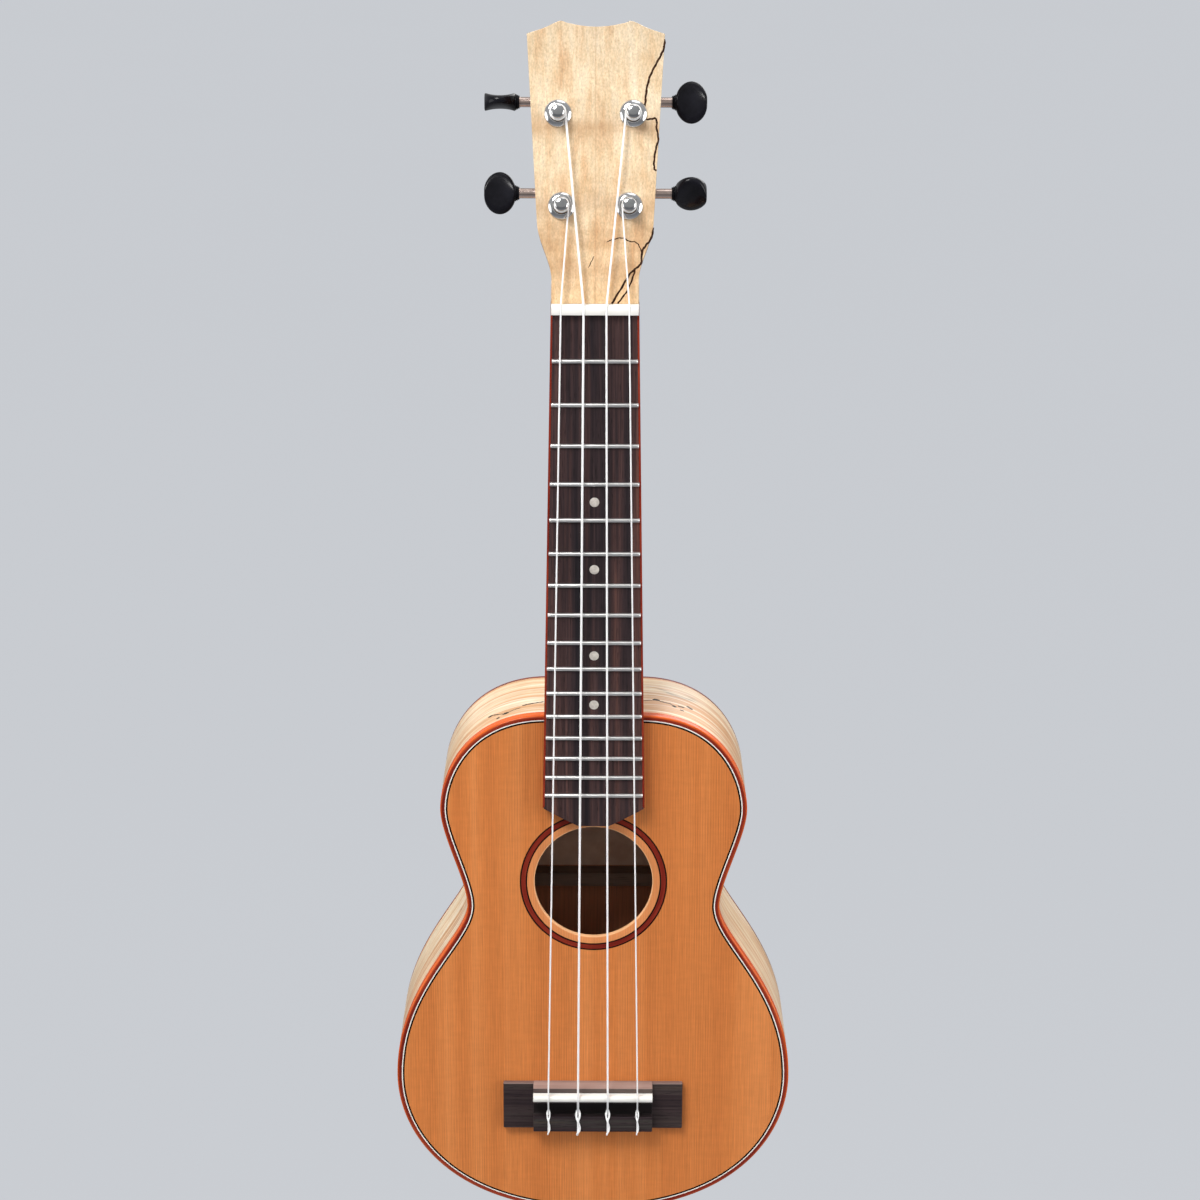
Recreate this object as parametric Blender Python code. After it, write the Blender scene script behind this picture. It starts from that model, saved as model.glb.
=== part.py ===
"""Soprano ukulele with geared tuners, modelled piece by piece.

World frame: +Z runs up towards the headstock, -Y is the front, and the origin lies
on the centre plane at the shoulders under the headstock, where a hanger carries it.

Most pieces are drawn in instrument coordinates: x across, y the station from the
nut towards the tail, z the depth behind the fretboard's top. The headstock's pieces
use the same kind of frame, tilted back: there y is minus the distance above the nut.
"""

import math

import bmesh
import bpy
from mathutils import Matrix, Vector

MM = 0.001

# Clearance between touching pieces
GAP = 0.3 * MM

# Placement of the origin, from the nut's fretboard edge and the fretboard's top
ORIGIN_STATION = -20.0 * MM
ORIGIN_DEPTH = 12.0 * MM

# Scale and frets
SCALE_LENGTH = 346.0 * MM
FRET_COUNT = 16
BODY_FRET = 12
FRET_CROWN_WIDTH = 1.9 * MM
FRET_CROWN_HEIGHT = 0.9 * MM
FRET_TANG_WIDTH = 0.6 * MM
FRET_TANG_DEPTH = 1.2 * MM
FRET_CLEARANCE = 0.1 * MM

# Fretboard and nut
FRETBOARD_THICKNESS = 5.2 * MM
FRETBOARD_NUT_WIDTH = 36.2 * MM
FRETBOARD_END_WIDTH = 43.6 * MM
FRETBOARD_TONGUE_WIDTH = 13.0 * MM
FRETBOARD_TONGUE_LENGTH = 8.2 * MM
FRETBOARD_TO_SOUNDHOLE = 2.5 * MM
# The end's curve from a corner to the tongue, as shares of its width and length
FRETBOARD_CORNER_HANDLE = (0.33, 0.36)
FRETBOARD_TONGUE_HANDLE = (0.33, 0.30)
NUT_THICKNESS = 4.0 * MM
NUT_WIDTH = 35.6 * MM
NUT_RISE = 2.0 * MM
NUT_FLAT_SHARE = 0.6
NUT_BACK_SHARE = 0.6

# Body outline: half widths and their distances from the neck join
BODY_JOIN_PAST_FRET = 1.6 * MM
BODY_LENGTH = 234.5 * MM
NECK_FLAT_HALF = 20.0 * MM
UPPER_BOUT_HALF = 66.0 * MM
UPPER_BOUT_DROP = 43.0 * MM
WAIST_HALF = 54.7 * MM
WAIST_DROP = 87.4 * MM
LOWER_BOUT_HALF = 86.4 * MM
LOWER_BOUT_DROP = 168.4 * MM
BODY_DEPTH = 54.0 * MM
# The outline's curve handles, each a share of its own run
SHOULDER_HANDLES = (0.77, 0.35)
UPPER_HANDLES = (0.27, 0.25)
LOWER_HANDLES = (0.20, 0.53)
TAIL_HANDLES = (0.45, 0.72)

# Body walls
PLATE_THICKNESS = 2.2 * MM
RIB_THICKNESS = 2.0 * MM
BINDING_WIDTH = 2.0 * MM
TOP_BINDING_DEPTH = 5.0 * MM
BACK_BINDING_DEPTH = 2.6 * MM
LINING_WIDTH = 5.0 * MM
LINING_DEPTH = 6.0 * MM
BLOCK_WIDTH = 43.0 * MM
NECK_BLOCK_LENGTH = 20.0 * MM
TAIL_BLOCK_LENGTH = 13.0 * MM

# Soundhole and its ring
SOUNDHOLE_DROP = 76.2 * MM
SOUNDHOLE_RADIUS = 25.5 * MM
ROSETTE_MARGIN = 3.2 * MM
ROSETTE_WIDTH = 3.2 * MM
ROSETTE_DEPTH = 1.1 * MM

# Braces
BRACE_WIDTH = 6.0 * MM
BRACE_HEIGHT = 9.0 * MM
BRACE_END_HEIGHT = 3.0 * MM
BRACE_END_MARGIN = 1.0 * MM
BRACE_FEATHER_SHARE = 0.7
BRACE_TO_ROSETTE = 1.6 * MM
BACK_BRACE_PAST_HOLE = 16.2 * MM

# Bridge, saddle and string anchorage; heights are above the soundboard
SADDLE_SETBACK = 3.5 * MM
SADDLE_THICKNESS = 3.0 * MM
SADDLE_SLOT_DEPTH = 3.6 * MM
SADDLE_RISE = 3.5 * MM
SADDLE_CROWN_DROP = 1.05 * MM
SADDLE_CROWN_HALF = 0.75 * MM
BRIDGE_WIDTH = 79.0 * MM
BRIDGE_CENTRE_WIDTH = 52.4 * MM
BRIDGE_FRONT_LIP = 4.4 * MM
BRIDGE_LENGTH = 21.8 * MM
BRIDGE_WING_HEIGHT = 2.8 * MM
BRIDGE_RIDGE_HEIGHT = 7.0 * MM
BRIDGE_RIDGE_LENGTH = 8.0 * MM
BRIDGE_FRONT_SLOPE = 0.6 * MM
BRIDGE_CHANNEL_LENGTH = 6.4 * MM
BRIDGE_CHANNEL_HEIGHT = 3.2 * MM
TIE_BLOCK_HEIGHT = 6.9 * MM
TIE_BLOCK_SLOPE = (0.4 * MM, 0.6 * MM)
TIE_HOLE_COVER = 2.3 * MM
TIE_HOLE_RADIUS = 0.8 * MM

# Strings, from the left
STRING_NAMES = ("g", "c", "e", "a")
STRING_DIAMETERS = (0.70 * MM, 0.95 * MM, 0.85 * MM, 0.65 * MM)
STRING_NUT_SPACING = 9.3 * MM
STRING_SADDLE_SPACING = 13.05 * MM
STRING_TURNS = 2
STRING_LEAST_GAP = 0.45 * MM
STRING_LOOP_POINTS = 24
STRING_BEND = 0.9 * MM
STRING_SADDLE_DROP = 1.6 * MM

# Neck
NECK_NUT_DEPTH = 12.0 * MM
NECK_HEEL_START_DEPTH = 14.5 * MM
HEEL_LENGTH = 30.0 * MM
HEEL_FOOT_HALF = 11.0 * MM
HEEL_FOOT_CLEARANCE = 3.0 * MM
HEEL_FLARE = 2.6
HEEL_FULLNESS = 0.65

# Headstock
HEAD_TILT = math.radians(15.0)
HEAD_FACE_DEPTH = 1.8 * MM
HEAD_PIVOT_BEHIND_NUT = 0.2 * MM
HEAD_THICKNESS = 12.5 * MM
HEADPLATE_THICKNESS = 1.5 * MM
HEADPLATE_FOOT = 0.6 * MM
HEAD_THROAT_HALF = 17.8 * MM
HEAD_THROAT_LENGTH = 9.4 * MM
HEAD_SHOULDER_HALF = 23.8 * MM
HEAD_SHOULDER_LENGTH = 33.5 * MM
HEAD_CORNER_HALF = 28.1 * MM
HEAD_CORNER_LENGTH = 109.3 * MM
HEAD_PEAK_HALF = 14.7 * MM
HEAD_PEAK_RISE = 5.1 * MM
HEAD_DIP_RISE = 2.8 * MM
# The top edge's curve from a corner to its peak, as offsets from the middle between them
HEAD_OGEE_OUTSET = 1.2 * MM
HEAD_OGEE_INSET = 1.6 * MM
HEAD_PEAK_ROUND = 3.2 * MM
SLAB_LAP = 0.2 * MM
THROAT_INSET = 0.05 * MM
# The throat's sections: lengths above the nut at the face and at the back as shares
# of the throat, extra half width, extra thickness and roundness
THROAT_SECTIONS = (
    (1.25, 1.25, -0.3 * MM, -0.4 * MM, 0.05),
    (0.80, 1.02, 0.1 * MM, 0.1 * MM, 0.06),
    (0.53, 0.80, 0.1 * MM, 1.0 * MM, 0.30),
    (0.27, 0.55, 0.1 * MM, 2.0 * MM, 0.65),
)
NUT_LEDGE_LEAN = 0.6 * MM

# Tuners
TOP_POST_HALF = 15.3 * MM
TOP_POST_LENGTH = 77.0 * MM
BOTTOM_POST_HALF = 13.7 * MM
BOTTOM_POST_LENGTH = 39.6 * MM
POST_RADIUS = 2.9 * MM
POST_CAP_RADIUS = 3.1 * MM
POST_GROOVE_RADIUS = 2.2 * MM
POST_CAP_HEIGHT = 1.5 * MM
POST_GROOVE_TAPER = 0.4 * MM
POST_SHOULDER_SUNK = 0.2 * MM
POST_HUB_FRONT = 0.4 * MM
POST_HUB_BACK = 0.9 * MM
POST_HUB_SHARE = 0.6
BUSHING_FLANGE_RADIUS = 5.7 * MM
BUSHING_FLANGE_HEIGHT = 1.7 * MM
BUSHING_SLEEVE_RADIUS = 4.0 * MM
BUSHING_SLEEVE_LENGTH = 8.0 * MM
TUNER_PLATE_THICKNESS = 1.2 * MM
TUNER_PLATE_MARGIN = 0.4 * MM
TUNER_PLATE_TAIL = 8.0 * MM
TUNER_PLATE_TIP = 6.6 * MM
EAR_THICKNESS = 1.2 * MM
EAR_HALF_WIDTH = 3.2 * MM
GEAR_MODULE = 0.62 * MM
GEAR_TEETH = 14
GEAR_WIDTH = 2.6 * MM
WORM_PITCH_RADIUS = 2.36 * MM
WORM_HALF_LENGTH = 3.9 * MM
TOOTH_SHARE = 0.33
TOOTH_ADDENDUM = 0.72
TOOTH_DEDENDUM = 1.35
TOOTH_FLANK = 0.42
WORM_TURNS = 2.6
WORM_TURN_POINTS = 13
WORM_THREAD_SUNK = 0.35 * MM
WORM_STUB_RADIUS = 1.3 * MM
WORM_STUB_END = 0.8 * MM
KNOB_SHAFT_RADIUS = 2.1 * MM
BUTTON_TO_HEAD = 4.9 * MM
BUTTON_LENGTH = 12.8 * MM
BUTTON_HALF_HEIGHT = 8.7 * MM
BUTTON_END_HALF = 3.8 * MM
BUTTON_WAIST_HALF = 2.5 * MM
BUTTON_BORE_DEPTH = 6.0 * MM
# How far along the button each of its sections lies
BUTTON_SECTIONS = (0, 0.06, 0.22, 0.42, 0.62, 0.8, 0.94, 1)
BUTTON_FACE_SHARES = (0.86, 0.75)

# Derived stations and depths
BODY_STATION = SCALE_LENGTH * (1 - 2 ** (-BODY_FRET / 12)) + BODY_JOIN_PAST_FRET
TAIL_STATION = BODY_STATION + BODY_LENGTH
TOP_DEPTH = FRETBOARD_THICKNESS + GAP
BACK_DEPTH = TOP_DEPTH + BODY_DEPTH
SOUNDHOLE_STATION = BODY_STATION + SOUNDHOLE_DROP
ROSETTE_INNER_RADIUS = SOUNDHOLE_RADIUS + ROSETTE_MARGIN
ROSETTE_OUTER_RADIUS = ROSETTE_INNER_RADIUS + ROSETTE_WIDTH
FRETBOARD_TIP_STATION = SOUNDHOLE_STATION - SOUNDHOLE_RADIUS - FRETBOARD_TO_SOUNDHOLE
FRETBOARD_END_STATION = FRETBOARD_TIP_STATION - FRETBOARD_TONGUE_LENGTH
BRACE_OFFSET = ROSETTE_OUTER_RADIUS + BRACE_TO_ROSETTE + BRACE_WIDTH / 2
SADDLE_STATION = SCALE_LENGTH + SADDLE_SETBACK
SADDLE_TOP = TOP_DEPTH - BRIDGE_RIDGE_HEIGHT - SADDLE_RISE
BRIDGE_FRONT = SADDLE_STATION - BRIDGE_FRONT_LIP
BRIDGE_RIDGE_END = BRIDGE_FRONT + BRIDGE_RIDGE_LENGTH
BRIDGE_CHANNEL_END = BRIDGE_RIDGE_END + BRIDGE_CHANNEL_LENGTH
BRIDGE_END = BRIDGE_FRONT + BRIDGE_LENGTH
TIE_HOLE_DEPTH = TOP_DEPTH - TIE_BLOCK_HEIGHT + TIE_HOLE_COVER
NUT_SLOT_DEPTH = -GAP - FRET_CROWN_HEIGHT - FRET_CLEARANCE
NECK_FACE = HEADPLATE_THICKNESS + GAP
HEAD_PIVOT_STATION = -NUT_THICKNESS - HEAD_PIVOT_BEHIND_NUT
GEAR_PITCH_RADIUS = GEAR_MODULE * GEAR_TEETH / 2
WORM_OFFSET = GEAR_PITCH_RADIUS + WORM_PITCH_RADIUS
WORM_LEAD = math.pi * GEAR_MODULE
WORM_TIP_RADIUS = WORM_PITCH_RADIUS + TOOTH_ADDENDUM * GEAR_MODULE
WORM_ROOT_RADIUS = WORM_PITCH_RADIUS - TOOTH_DEDENDUM * GEAR_MODULE
PLATE_FRONT = HEAD_THICKNESS + GAP
PLATE_BACK = PLATE_FRONT + TUNER_PLATE_THICKNESS
WORM_DEPTH = PLATE_BACK + GAP + WORM_TIP_RADIUS
EAR_INSIDE = WORM_HALF_LENGTH + GAP
EAR_END = EAR_INSIDE + EAR_THICKNESS
KNOB_REACH = HEAD_CORNER_HALF + BUTTON_TO_HEAD
THICKEST_STRING = max(STRING_DIAMETERS)
WOUND_LENGTH = STRING_TURNS * (THICKEST_STRING + STRING_LEAST_GAP) + THICKEST_STRING
POST_GROOVE_LENGTH = WOUND_LENGTH + 2 * GAP + 2 * POST_GROOVE_TAPER
POST_GROOVE_BACK = -BUSHING_FLANGE_HEIGHT - GAP + POST_SHOULDER_SUNK

# Each tuner: its side, its post's place and how far its button is turned at rest
TUNERS = {
    "top_left": (-1, TOP_POST_HALF, TOP_POST_LENGTH, 90),
    "top_right": (1, TOP_POST_HALF, TOP_POST_LENGTH, 0),
    "bottom_left": (-1, BOTTOM_POST_HALF, BOTTOM_POST_LENGTH, 0),
    "bottom_right": (1, BOTTOM_POST_HALF, BOTTOM_POST_LENGTH, 48),
}
STRING_TUNERS = ("bottom_left", "top_left", "top_right", "bottom_right")


def clear_scene():
    for obj in list(bpy.data.objects):
        bpy.data.objects.remove(obj, do_unlink=True)


def make_material(name, colour, roughness, metallic=0.0):
    material = bpy.data.materials.new(name)
    material.use_nodes = True
    shader = material.node_tree.nodes["Principled BSDF"]
    shader.inputs["Base Color"].default_value = (*colour, 1.0)
    shader.inputs["Roughness"].default_value = roughness
    shader.inputs["Metallic"].default_value = metallic
    material.diffuse_color = (*colour, 1.0)
    return material


def cedar():
    return make_material("cedar", (0.56, 0.25, 0.09), 0.45)


def spalted_maple():
    return make_material("spalted_maple", (0.72, 0.55, 0.36), 0.4)


def rosewood():
    return make_material("rosewood", (0.06, 0.028, 0.018), 0.5)


def red_binding():
    return make_material("red_binding", (0.36, 0.075, 0.03), 0.35)


def mahogany():
    return make_material("mahogany", (0.27, 0.11, 0.05), 0.5)


def spruce():
    return make_material("spruce", (0.66, 0.5, 0.3), 0.6)


def bone():
    return make_material("bone", (0.86, 0.83, 0.74), 0.4)


def nickel_silver():
    return make_material("nickel_silver", (0.72, 0.7, 0.66), 0.25, 1.0)


def chrome():
    return make_material("chrome", (0.75, 0.76, 0.78), 0.12, 1.0)


def bronze():
    return make_material("bronze", (0.42, 0.24, 0.13), 0.3, 1.0)


def black_plastic():
    return make_material("black_plastic", (0.012, 0.012, 0.014), 0.2)


def nylon():
    return make_material("nylon", (0.9, 0.9, 0.88), 0.3)


def make_empty(name, parent=None):
    empty = bpy.data.objects.new(name, None)
    empty.empty_display_size = 10 * MM
    bpy.context.collection.objects.link(empty)
    empty.parent = parent
    return empty


def place(obj, parent, location=(0, 0, 0)):
    obj.parent = parent
    obj.location = location
    return obj


def solid(name, verts, faces, material=None, parent=None, smooth=False):
    """An object from points and faces, with its faces turned outwards."""
    mesh = bpy.data.meshes.new(name)
    mesh.from_pydata([tuple(v) for v in verts], [], faces)
    work = bmesh.new()
    work.from_mesh(mesh)
    bmesh.ops.recalc_face_normals(work, faces=work.faces)
    work.to_mesh(mesh)
    work.free()
    if smooth:
        mesh.shade_smooth()
        mesh.set_sharp_from_angle(angle=math.radians(35))
    if material:
        mesh.materials.append(material)
    obj = bpy.data.objects.new(name, mesh)
    bpy.context.collection.objects.link(obj)
    obj.parent = parent
    return obj


def hide(obj):
    obj.hide_render = True
    obj.display_type = "WIRE"
    return obj


def cut(obj, cutter, operation="DIFFERENCE"):
    modifier = obj.modifiers.new(operation.title(), "BOOLEAN")
    modifier.operation = operation
    modifier.object = hide(cutter)
    return obj


def prism(name, outline, low, high, **options):
    """An outline in x and y, drawn out from depth low to depth high."""
    count = len(outline)
    verts = [(x, y, low) for x, y in outline] + [(x, y, high) for x, y in outline]
    faces = [tuple(range(count)), tuple(range(2 * count - 1, count - 1, -1))]
    for i in range(count):
        j = (i + 1) % count
        faces.append((i, j, count + j, count + i))
    return solid(name, verts, faces, **options)


def loft(name, rings, closed=False, **options):
    """A skin through rings of equal count; open lofts get flat ends."""
    count = len(rings[0])
    verts = [point for ring in rings for point in ring]
    faces = []
    last = len(rings) if closed else len(rings) - 1
    for k in range(last):
        near = k * count
        far = ((k + 1) % len(rings)) * count
        for i in range(count):
            j = (i + 1) % count
            faces.append((near + i, near + j, far + j, far + i))
    if not closed:
        faces.append(tuple(range(count)))
        faces.append(tuple(range(len(verts) - count, len(verts))))
    return solid(name, verts, faces, **options)


def band(name, outer, inner, low, high, closed, **options):
    """A wall between two outlines of equal count, from depth low to depth high."""
    rings = []
    for (ox, oy), (ix, iy) in zip(outer, inner):
        rings.append([(ox, oy, low), (ox, oy, high), (ix, iy, high), (ix, iy, low)])
    return loft(name, rings, closed, **options)


def circle(radius, count, centre=(0, 0)):
    points = []
    for i in range(count):
        angle = 2 * math.pi * i / count
        points.append((centre[0] + radius * math.cos(angle), centre[1] + radius * math.sin(angle)))
    return points


def disc(name, radius, low, high, count):
    return prism(name, circle(radius, count), low, high)


def lathe(name, profile, count, axis="Z", **options):
    """Turns a profile of (radius, height) points round an axis; a bored piece's profile closes."""
    bored = all(radius > 0 for radius, _ in profile)
    rings = []
    for i in range(count):
        angle = 2 * math.pi * i / count
        ring = []
        for radius, height in profile:
            across = (radius * math.cos(angle), radius * math.sin(angle))
            ring.append((height, *across) if axis == "X" else (*across, height))
        rings.append(ring)
    obj = loft(name, rings, True, **options) if bored else turned(name, rings, **options)
    return obj


def turned(name, rings, **options):
    """A turned piece whose profile starts and ends on the axis."""
    count = len(rings)
    inner = len(rings[0]) - 2
    verts = [rings[0][0], rings[0][-1]]
    for ring in rings:
        verts.extend(ring[1:-1])
    faces = []
    for k in range(count):
        near = 2 + k * inner
        far = 2 + ((k + 1) % count) * inner
        faces.append((0, near, far))
        faces.append((1, far + inner - 1, near + inner - 1))
        for i in range(inner - 1):
            faces.append((near + i, near + i + 1, far + i + 1, far + i))
    return solid(name, verts, faces, **options)


def box_shape(low, high):
    """Points and faces of a box between two corners."""
    verts = []
    for x in (low[0], high[0]):
        for y in (low[1], high[1]):
            verts += [(x, y, low[2]), (x, y, high[2])]
    faces = [(0, 1, 3, 2), (4, 6, 7, 5), (0, 4, 5, 1), (2, 3, 7, 6), (0, 2, 6, 4), (1, 5, 7, 3)]
    return verts, faces


def boxes(name, corners, **options):
    """One object holding a box for each pair of corners."""
    verts = []
    faces = []
    for low, high in corners:
        points, sides = box_shape(low, high)
        faces.extend(tuple(len(verts) + i for i in side) for side in sides)
        verts.extend(points)
    return solid(name, verts, faces, **options)


def bezier(start, first, second, end, steps):
    """Points of a cubic curve, without its last point."""
    points = []
    for i in range(steps):
        t = i / steps
        u = 1 - t
        point = u**3 * start + 3 * u * u * t * first + 3 * u * t * t * second + t**3 * end
        points.append(point)
    return points


def half_outline():
    """The body's right half, from the neck join to the tail, as (x, station) points."""
    join = Vector((NECK_FLAT_HALF, BODY_STATION))
    upper = Vector((UPPER_BOUT_HALF, BODY_STATION + UPPER_BOUT_DROP))
    waist = Vector((WAIST_HALF, BODY_STATION + WAIST_DROP))
    lower = Vector((LOWER_BOUT_HALF, BODY_STATION + LOWER_BOUT_DROP))
    tail = Vector((0, TAIL_STATION))
    across = Vector((1, 0))
    along = Vector((0, 1))
    upper_run = UPPER_BOUT_DROP
    waist_run = WAIST_DROP - UPPER_BOUT_DROP
    lower_run = LOWER_BOUT_DROP - WAIST_DROP
    tail_run = BODY_LENGTH - LOWER_BOUT_DROP
    shoulder_run = UPPER_BOUT_HALF - NECK_FLAT_HALF
    points = [Vector((0, BODY_STATION)), join * 0.5 + Vector((0, BODY_STATION)) * 0.5]
    curves = (
        (join, upper, across * shoulder_run, along * upper_run, SHOULDER_HANDLES, 7),
        (upper, waist, along * waist_run, along * waist_run, UPPER_HANDLES, 5),
        (waist, lower, along * lower_run, along * lower_run, LOWER_HANDLES, 8),
        (lower, tail, along * tail_run, -across * LOWER_BOUT_HALF, TAIL_HANDLES, 9),
    )
    for start, end, leaving, arriving, handles, steps in curves:
        points += bezier(start, start + leaving * handles[0], end - arriving * handles[1], end, steps)
    points.append(tail)
    return points


def inset_half(inset):
    """The right half outline moved inwards, square to itself."""
    points = half_outline()
    moved = []
    for i, point in enumerate(points):
        before = points[i - 1] if i else Vector((-points[1].x, points[1].y))
        after = points[i + 1] if i < len(points) - 1 else Vector((-points[-2].x, points[-2].y))
        run = (after - before).normalized()
        moved.append((point.x - run.y * inset, point.y + run.x * inset))
    moved[0] = (0.0, BODY_STATION + inset)
    moved[-1] = (0.0, TAIL_STATION - inset)
    return moved


def full_outline(inset):
    right = inset_half(inset)
    left = [(-x, y) for x, y in reversed(right[1:-1])]
    return right + left


def half_width_at(station, inset):
    """How far the inset outline reaches to the right at a station."""
    points = inset_half(inset)
    for (x0, y0), (x1, y1) in zip(points, points[1:]):
        if y0 <= station <= y1 and y1 > y0:
            return x0 + (x1 - x0) * (station - y0) / (y1 - y0)
    return 0.0


def fret_station(number):
    return SCALE_LENGTH * (1 - 2 ** (-number / 12))


def fretboard_half(station):
    share = station / FRETBOARD_END_STATION
    return (FRETBOARD_NUT_WIDTH + (FRETBOARD_END_WIDTH - FRETBOARD_NUT_WIDTH) * share) / 2


def string_x(index, spacing):
    return (index - 1.5) * spacing


def make_soundboard(parent):
    outline = full_outline(BINDING_WIDTH + GAP)
    inside = TOP_DEPTH + PLATE_THICKNESS
    board = prism("soundboard", outline, TOP_DEPTH, inside, material=cedar(), parent=parent)
    centre = (0, SOUNDHOLE_STATION)
    edge = circle(SOUNDHOLE_RADIUS, 40, centre)
    cut(board, prism("soundhole_cutter", edge, TOP_DEPTH - MM, inside + MM, parent=parent))
    channel = band(
        "rosette_channel_cutter",
        circle(ROSETTE_OUTER_RADIUS + GAP, 40, centre),
        circle(ROSETTE_INNER_RADIUS - GAP, 40, centre),
        TOP_DEPTH - MM,
        TOP_DEPTH + ROSETTE_DEPTH + GAP,
        True,
        parent=parent,
    )
    cut(board, channel)


def make_rosette(parent):
    centre = (0, SOUNDHOLE_STATION)
    band(
        "rosette",
        circle(ROSETTE_OUTER_RADIUS, 40, centre),
        circle(ROSETTE_INNER_RADIUS, 40, centre),
        TOP_DEPTH,
        TOP_DEPTH + ROSETTE_DEPTH,
        True,
        material=red_binding(),
        parent=parent,
    )


def make_back(parent):
    outline = full_outline(BINDING_WIDTH + GAP)
    inside = BACK_DEPTH - PLATE_THICKNESS
    prism("back_plate", outline, inside, BACK_DEPTH, material=spalted_maple(), parent=parent)


def make_bindings(parent):
    outer = full_outline(0)
    inner = full_outline(BINDING_WIDTH)
    edges = (
        ("top_binding", TOP_DEPTH, TOP_DEPTH + TOP_BINDING_DEPTH),
        ("back_binding", BACK_DEPTH - BACK_BINDING_DEPTH, BACK_DEPTH),
    )
    for name, low, high in edges:
        band(name, outer, inner, low, high, True, material=red_binding(), parent=parent)


def make_ribs(parent):
    low = TOP_DEPTH + TOP_BINDING_DEPTH + GAP
    high = BACK_DEPTH - BACK_BINDING_DEPTH - GAP
    outer = inset_half(0)
    inner = inset_half(RIB_THICKNESS)
    for name, side in (("rib_left", -1), ("rib_right", 1)):
        walls = []
        for points in (outer, inner):
            walls.append([(side * max(x, GAP / 2), y) for x, y in points])
        band(name, walls[0], walls[1], low, high, False, material=spalted_maple(), parent=parent)


def make_linings(parent):
    outer = full_outline(RIB_THICKNESS + GAP)
    inner = full_outline(RIB_THICKNESS + GAP + LINING_WIDTH)
    top = TOP_DEPTH + PLATE_THICKNESS + GAP
    back = BACK_DEPTH - PLATE_THICKNESS - GAP
    band("top_lining", outer, inner, top, top + LINING_DEPTH, True, material=spruce(), parent=parent)
    band("back_lining", outer, inner, back - LINING_DEPTH, back, True, material=spruce(), parent=parent)


def make_block(name, rib_face, inner_face, parent):
    """A block between the plates, notched for the two linings."""
    way = 1 if inner_face > rib_face else -1
    front = TOP_DEPTH + PLATE_THICKNESS + GAP
    back = BACK_DEPTH - PLATE_THICKNESS - GAP
    lining_face = rib_face + way * (LINING_WIDTH + GAP)
    profile = (
        (rib_face, front + LINING_DEPTH + GAP),
        (lining_face, front + LINING_DEPTH + GAP),
        (lining_face, front),
        (inner_face, front),
        (inner_face, back),
        (lining_face, back),
        (lining_face, back - LINING_DEPTH - GAP),
        (rib_face, back - LINING_DEPTH - GAP),
    )
    half = BLOCK_WIDTH / 2
    rings = [[(side * half, y, z) for y, z in profile] for side in (-1, 1)]
    loft(name, rings, material=mahogany(), parent=parent)


def make_blocks(parent):
    inside = RIB_THICKNESS + GAP
    front = BODY_STATION + inside
    make_block("neck_block", front, front + NECK_BLOCK_LENGTH, parent)
    corner_sag = tail_sag(BLOCK_WIDTH / 2)
    tail = TAIL_STATION - inside - corner_sag
    make_block("tail_block", tail, tail - TAIL_BLOCK_LENGTH, parent)


def tail_sag(half):
    """How far the tail's curve has come forward at a half width."""
    for (x0, y0), (x1, y1) in zip(half_outline()[::-1], half_outline()[-2::-1]):
        if x0 <= half <= x1:
            return TAIL_STATION - (y0 + (y1 - y0) * (half - x0) / (x1 - x0))
    return 0.0


def make_brace(name, station, plate_face, way, material, parent):
    """A brace with feathered ends; way is +1 on the soundboard, -1 on the back."""
    inset = RIB_THICKNESS + LINING_WIDTH + 2 * GAP + BRACE_END_MARGIN
    reach = min(half_width_at(station + side * BRACE_WIDTH / 2, inset) for side in (-1, 1))
    seat = plate_face + way * GAP
    feather = BRACE_FEATHER_SHARE * reach
    profile = (
        (-reach, seat),
        (reach, seat),
        (reach, seat + way * BRACE_END_HEIGHT),
        (feather, seat + way * BRACE_HEIGHT),
        (-feather, seat + way * BRACE_HEIGHT),
        (-reach, seat + way * BRACE_END_HEIGHT),
    )
    rings = [[(x, station + side * BRACE_WIDTH / 2, z) for x, z in profile] for side in (-1, 1)]
    loft(name, rings, material=material, parent=parent)


def make_braces(parent):
    wood = spruce()
    top_face = TOP_DEPTH + PLATE_THICKNESS
    back_face = BACK_DEPTH - PLATE_THICKNESS
    make_brace("upper_brace", SOUNDHOLE_STATION - BRACE_OFFSET, top_face, 1, wood, parent)
    make_brace("lower_brace", SOUNDHOLE_STATION + BRACE_OFFSET, top_face, 1, wood, parent)
    make_brace("back_brace", SOUNDHOLE_STATION + BACK_BRACE_PAST_HOLE, back_face, -1, wood, parent)


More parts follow.
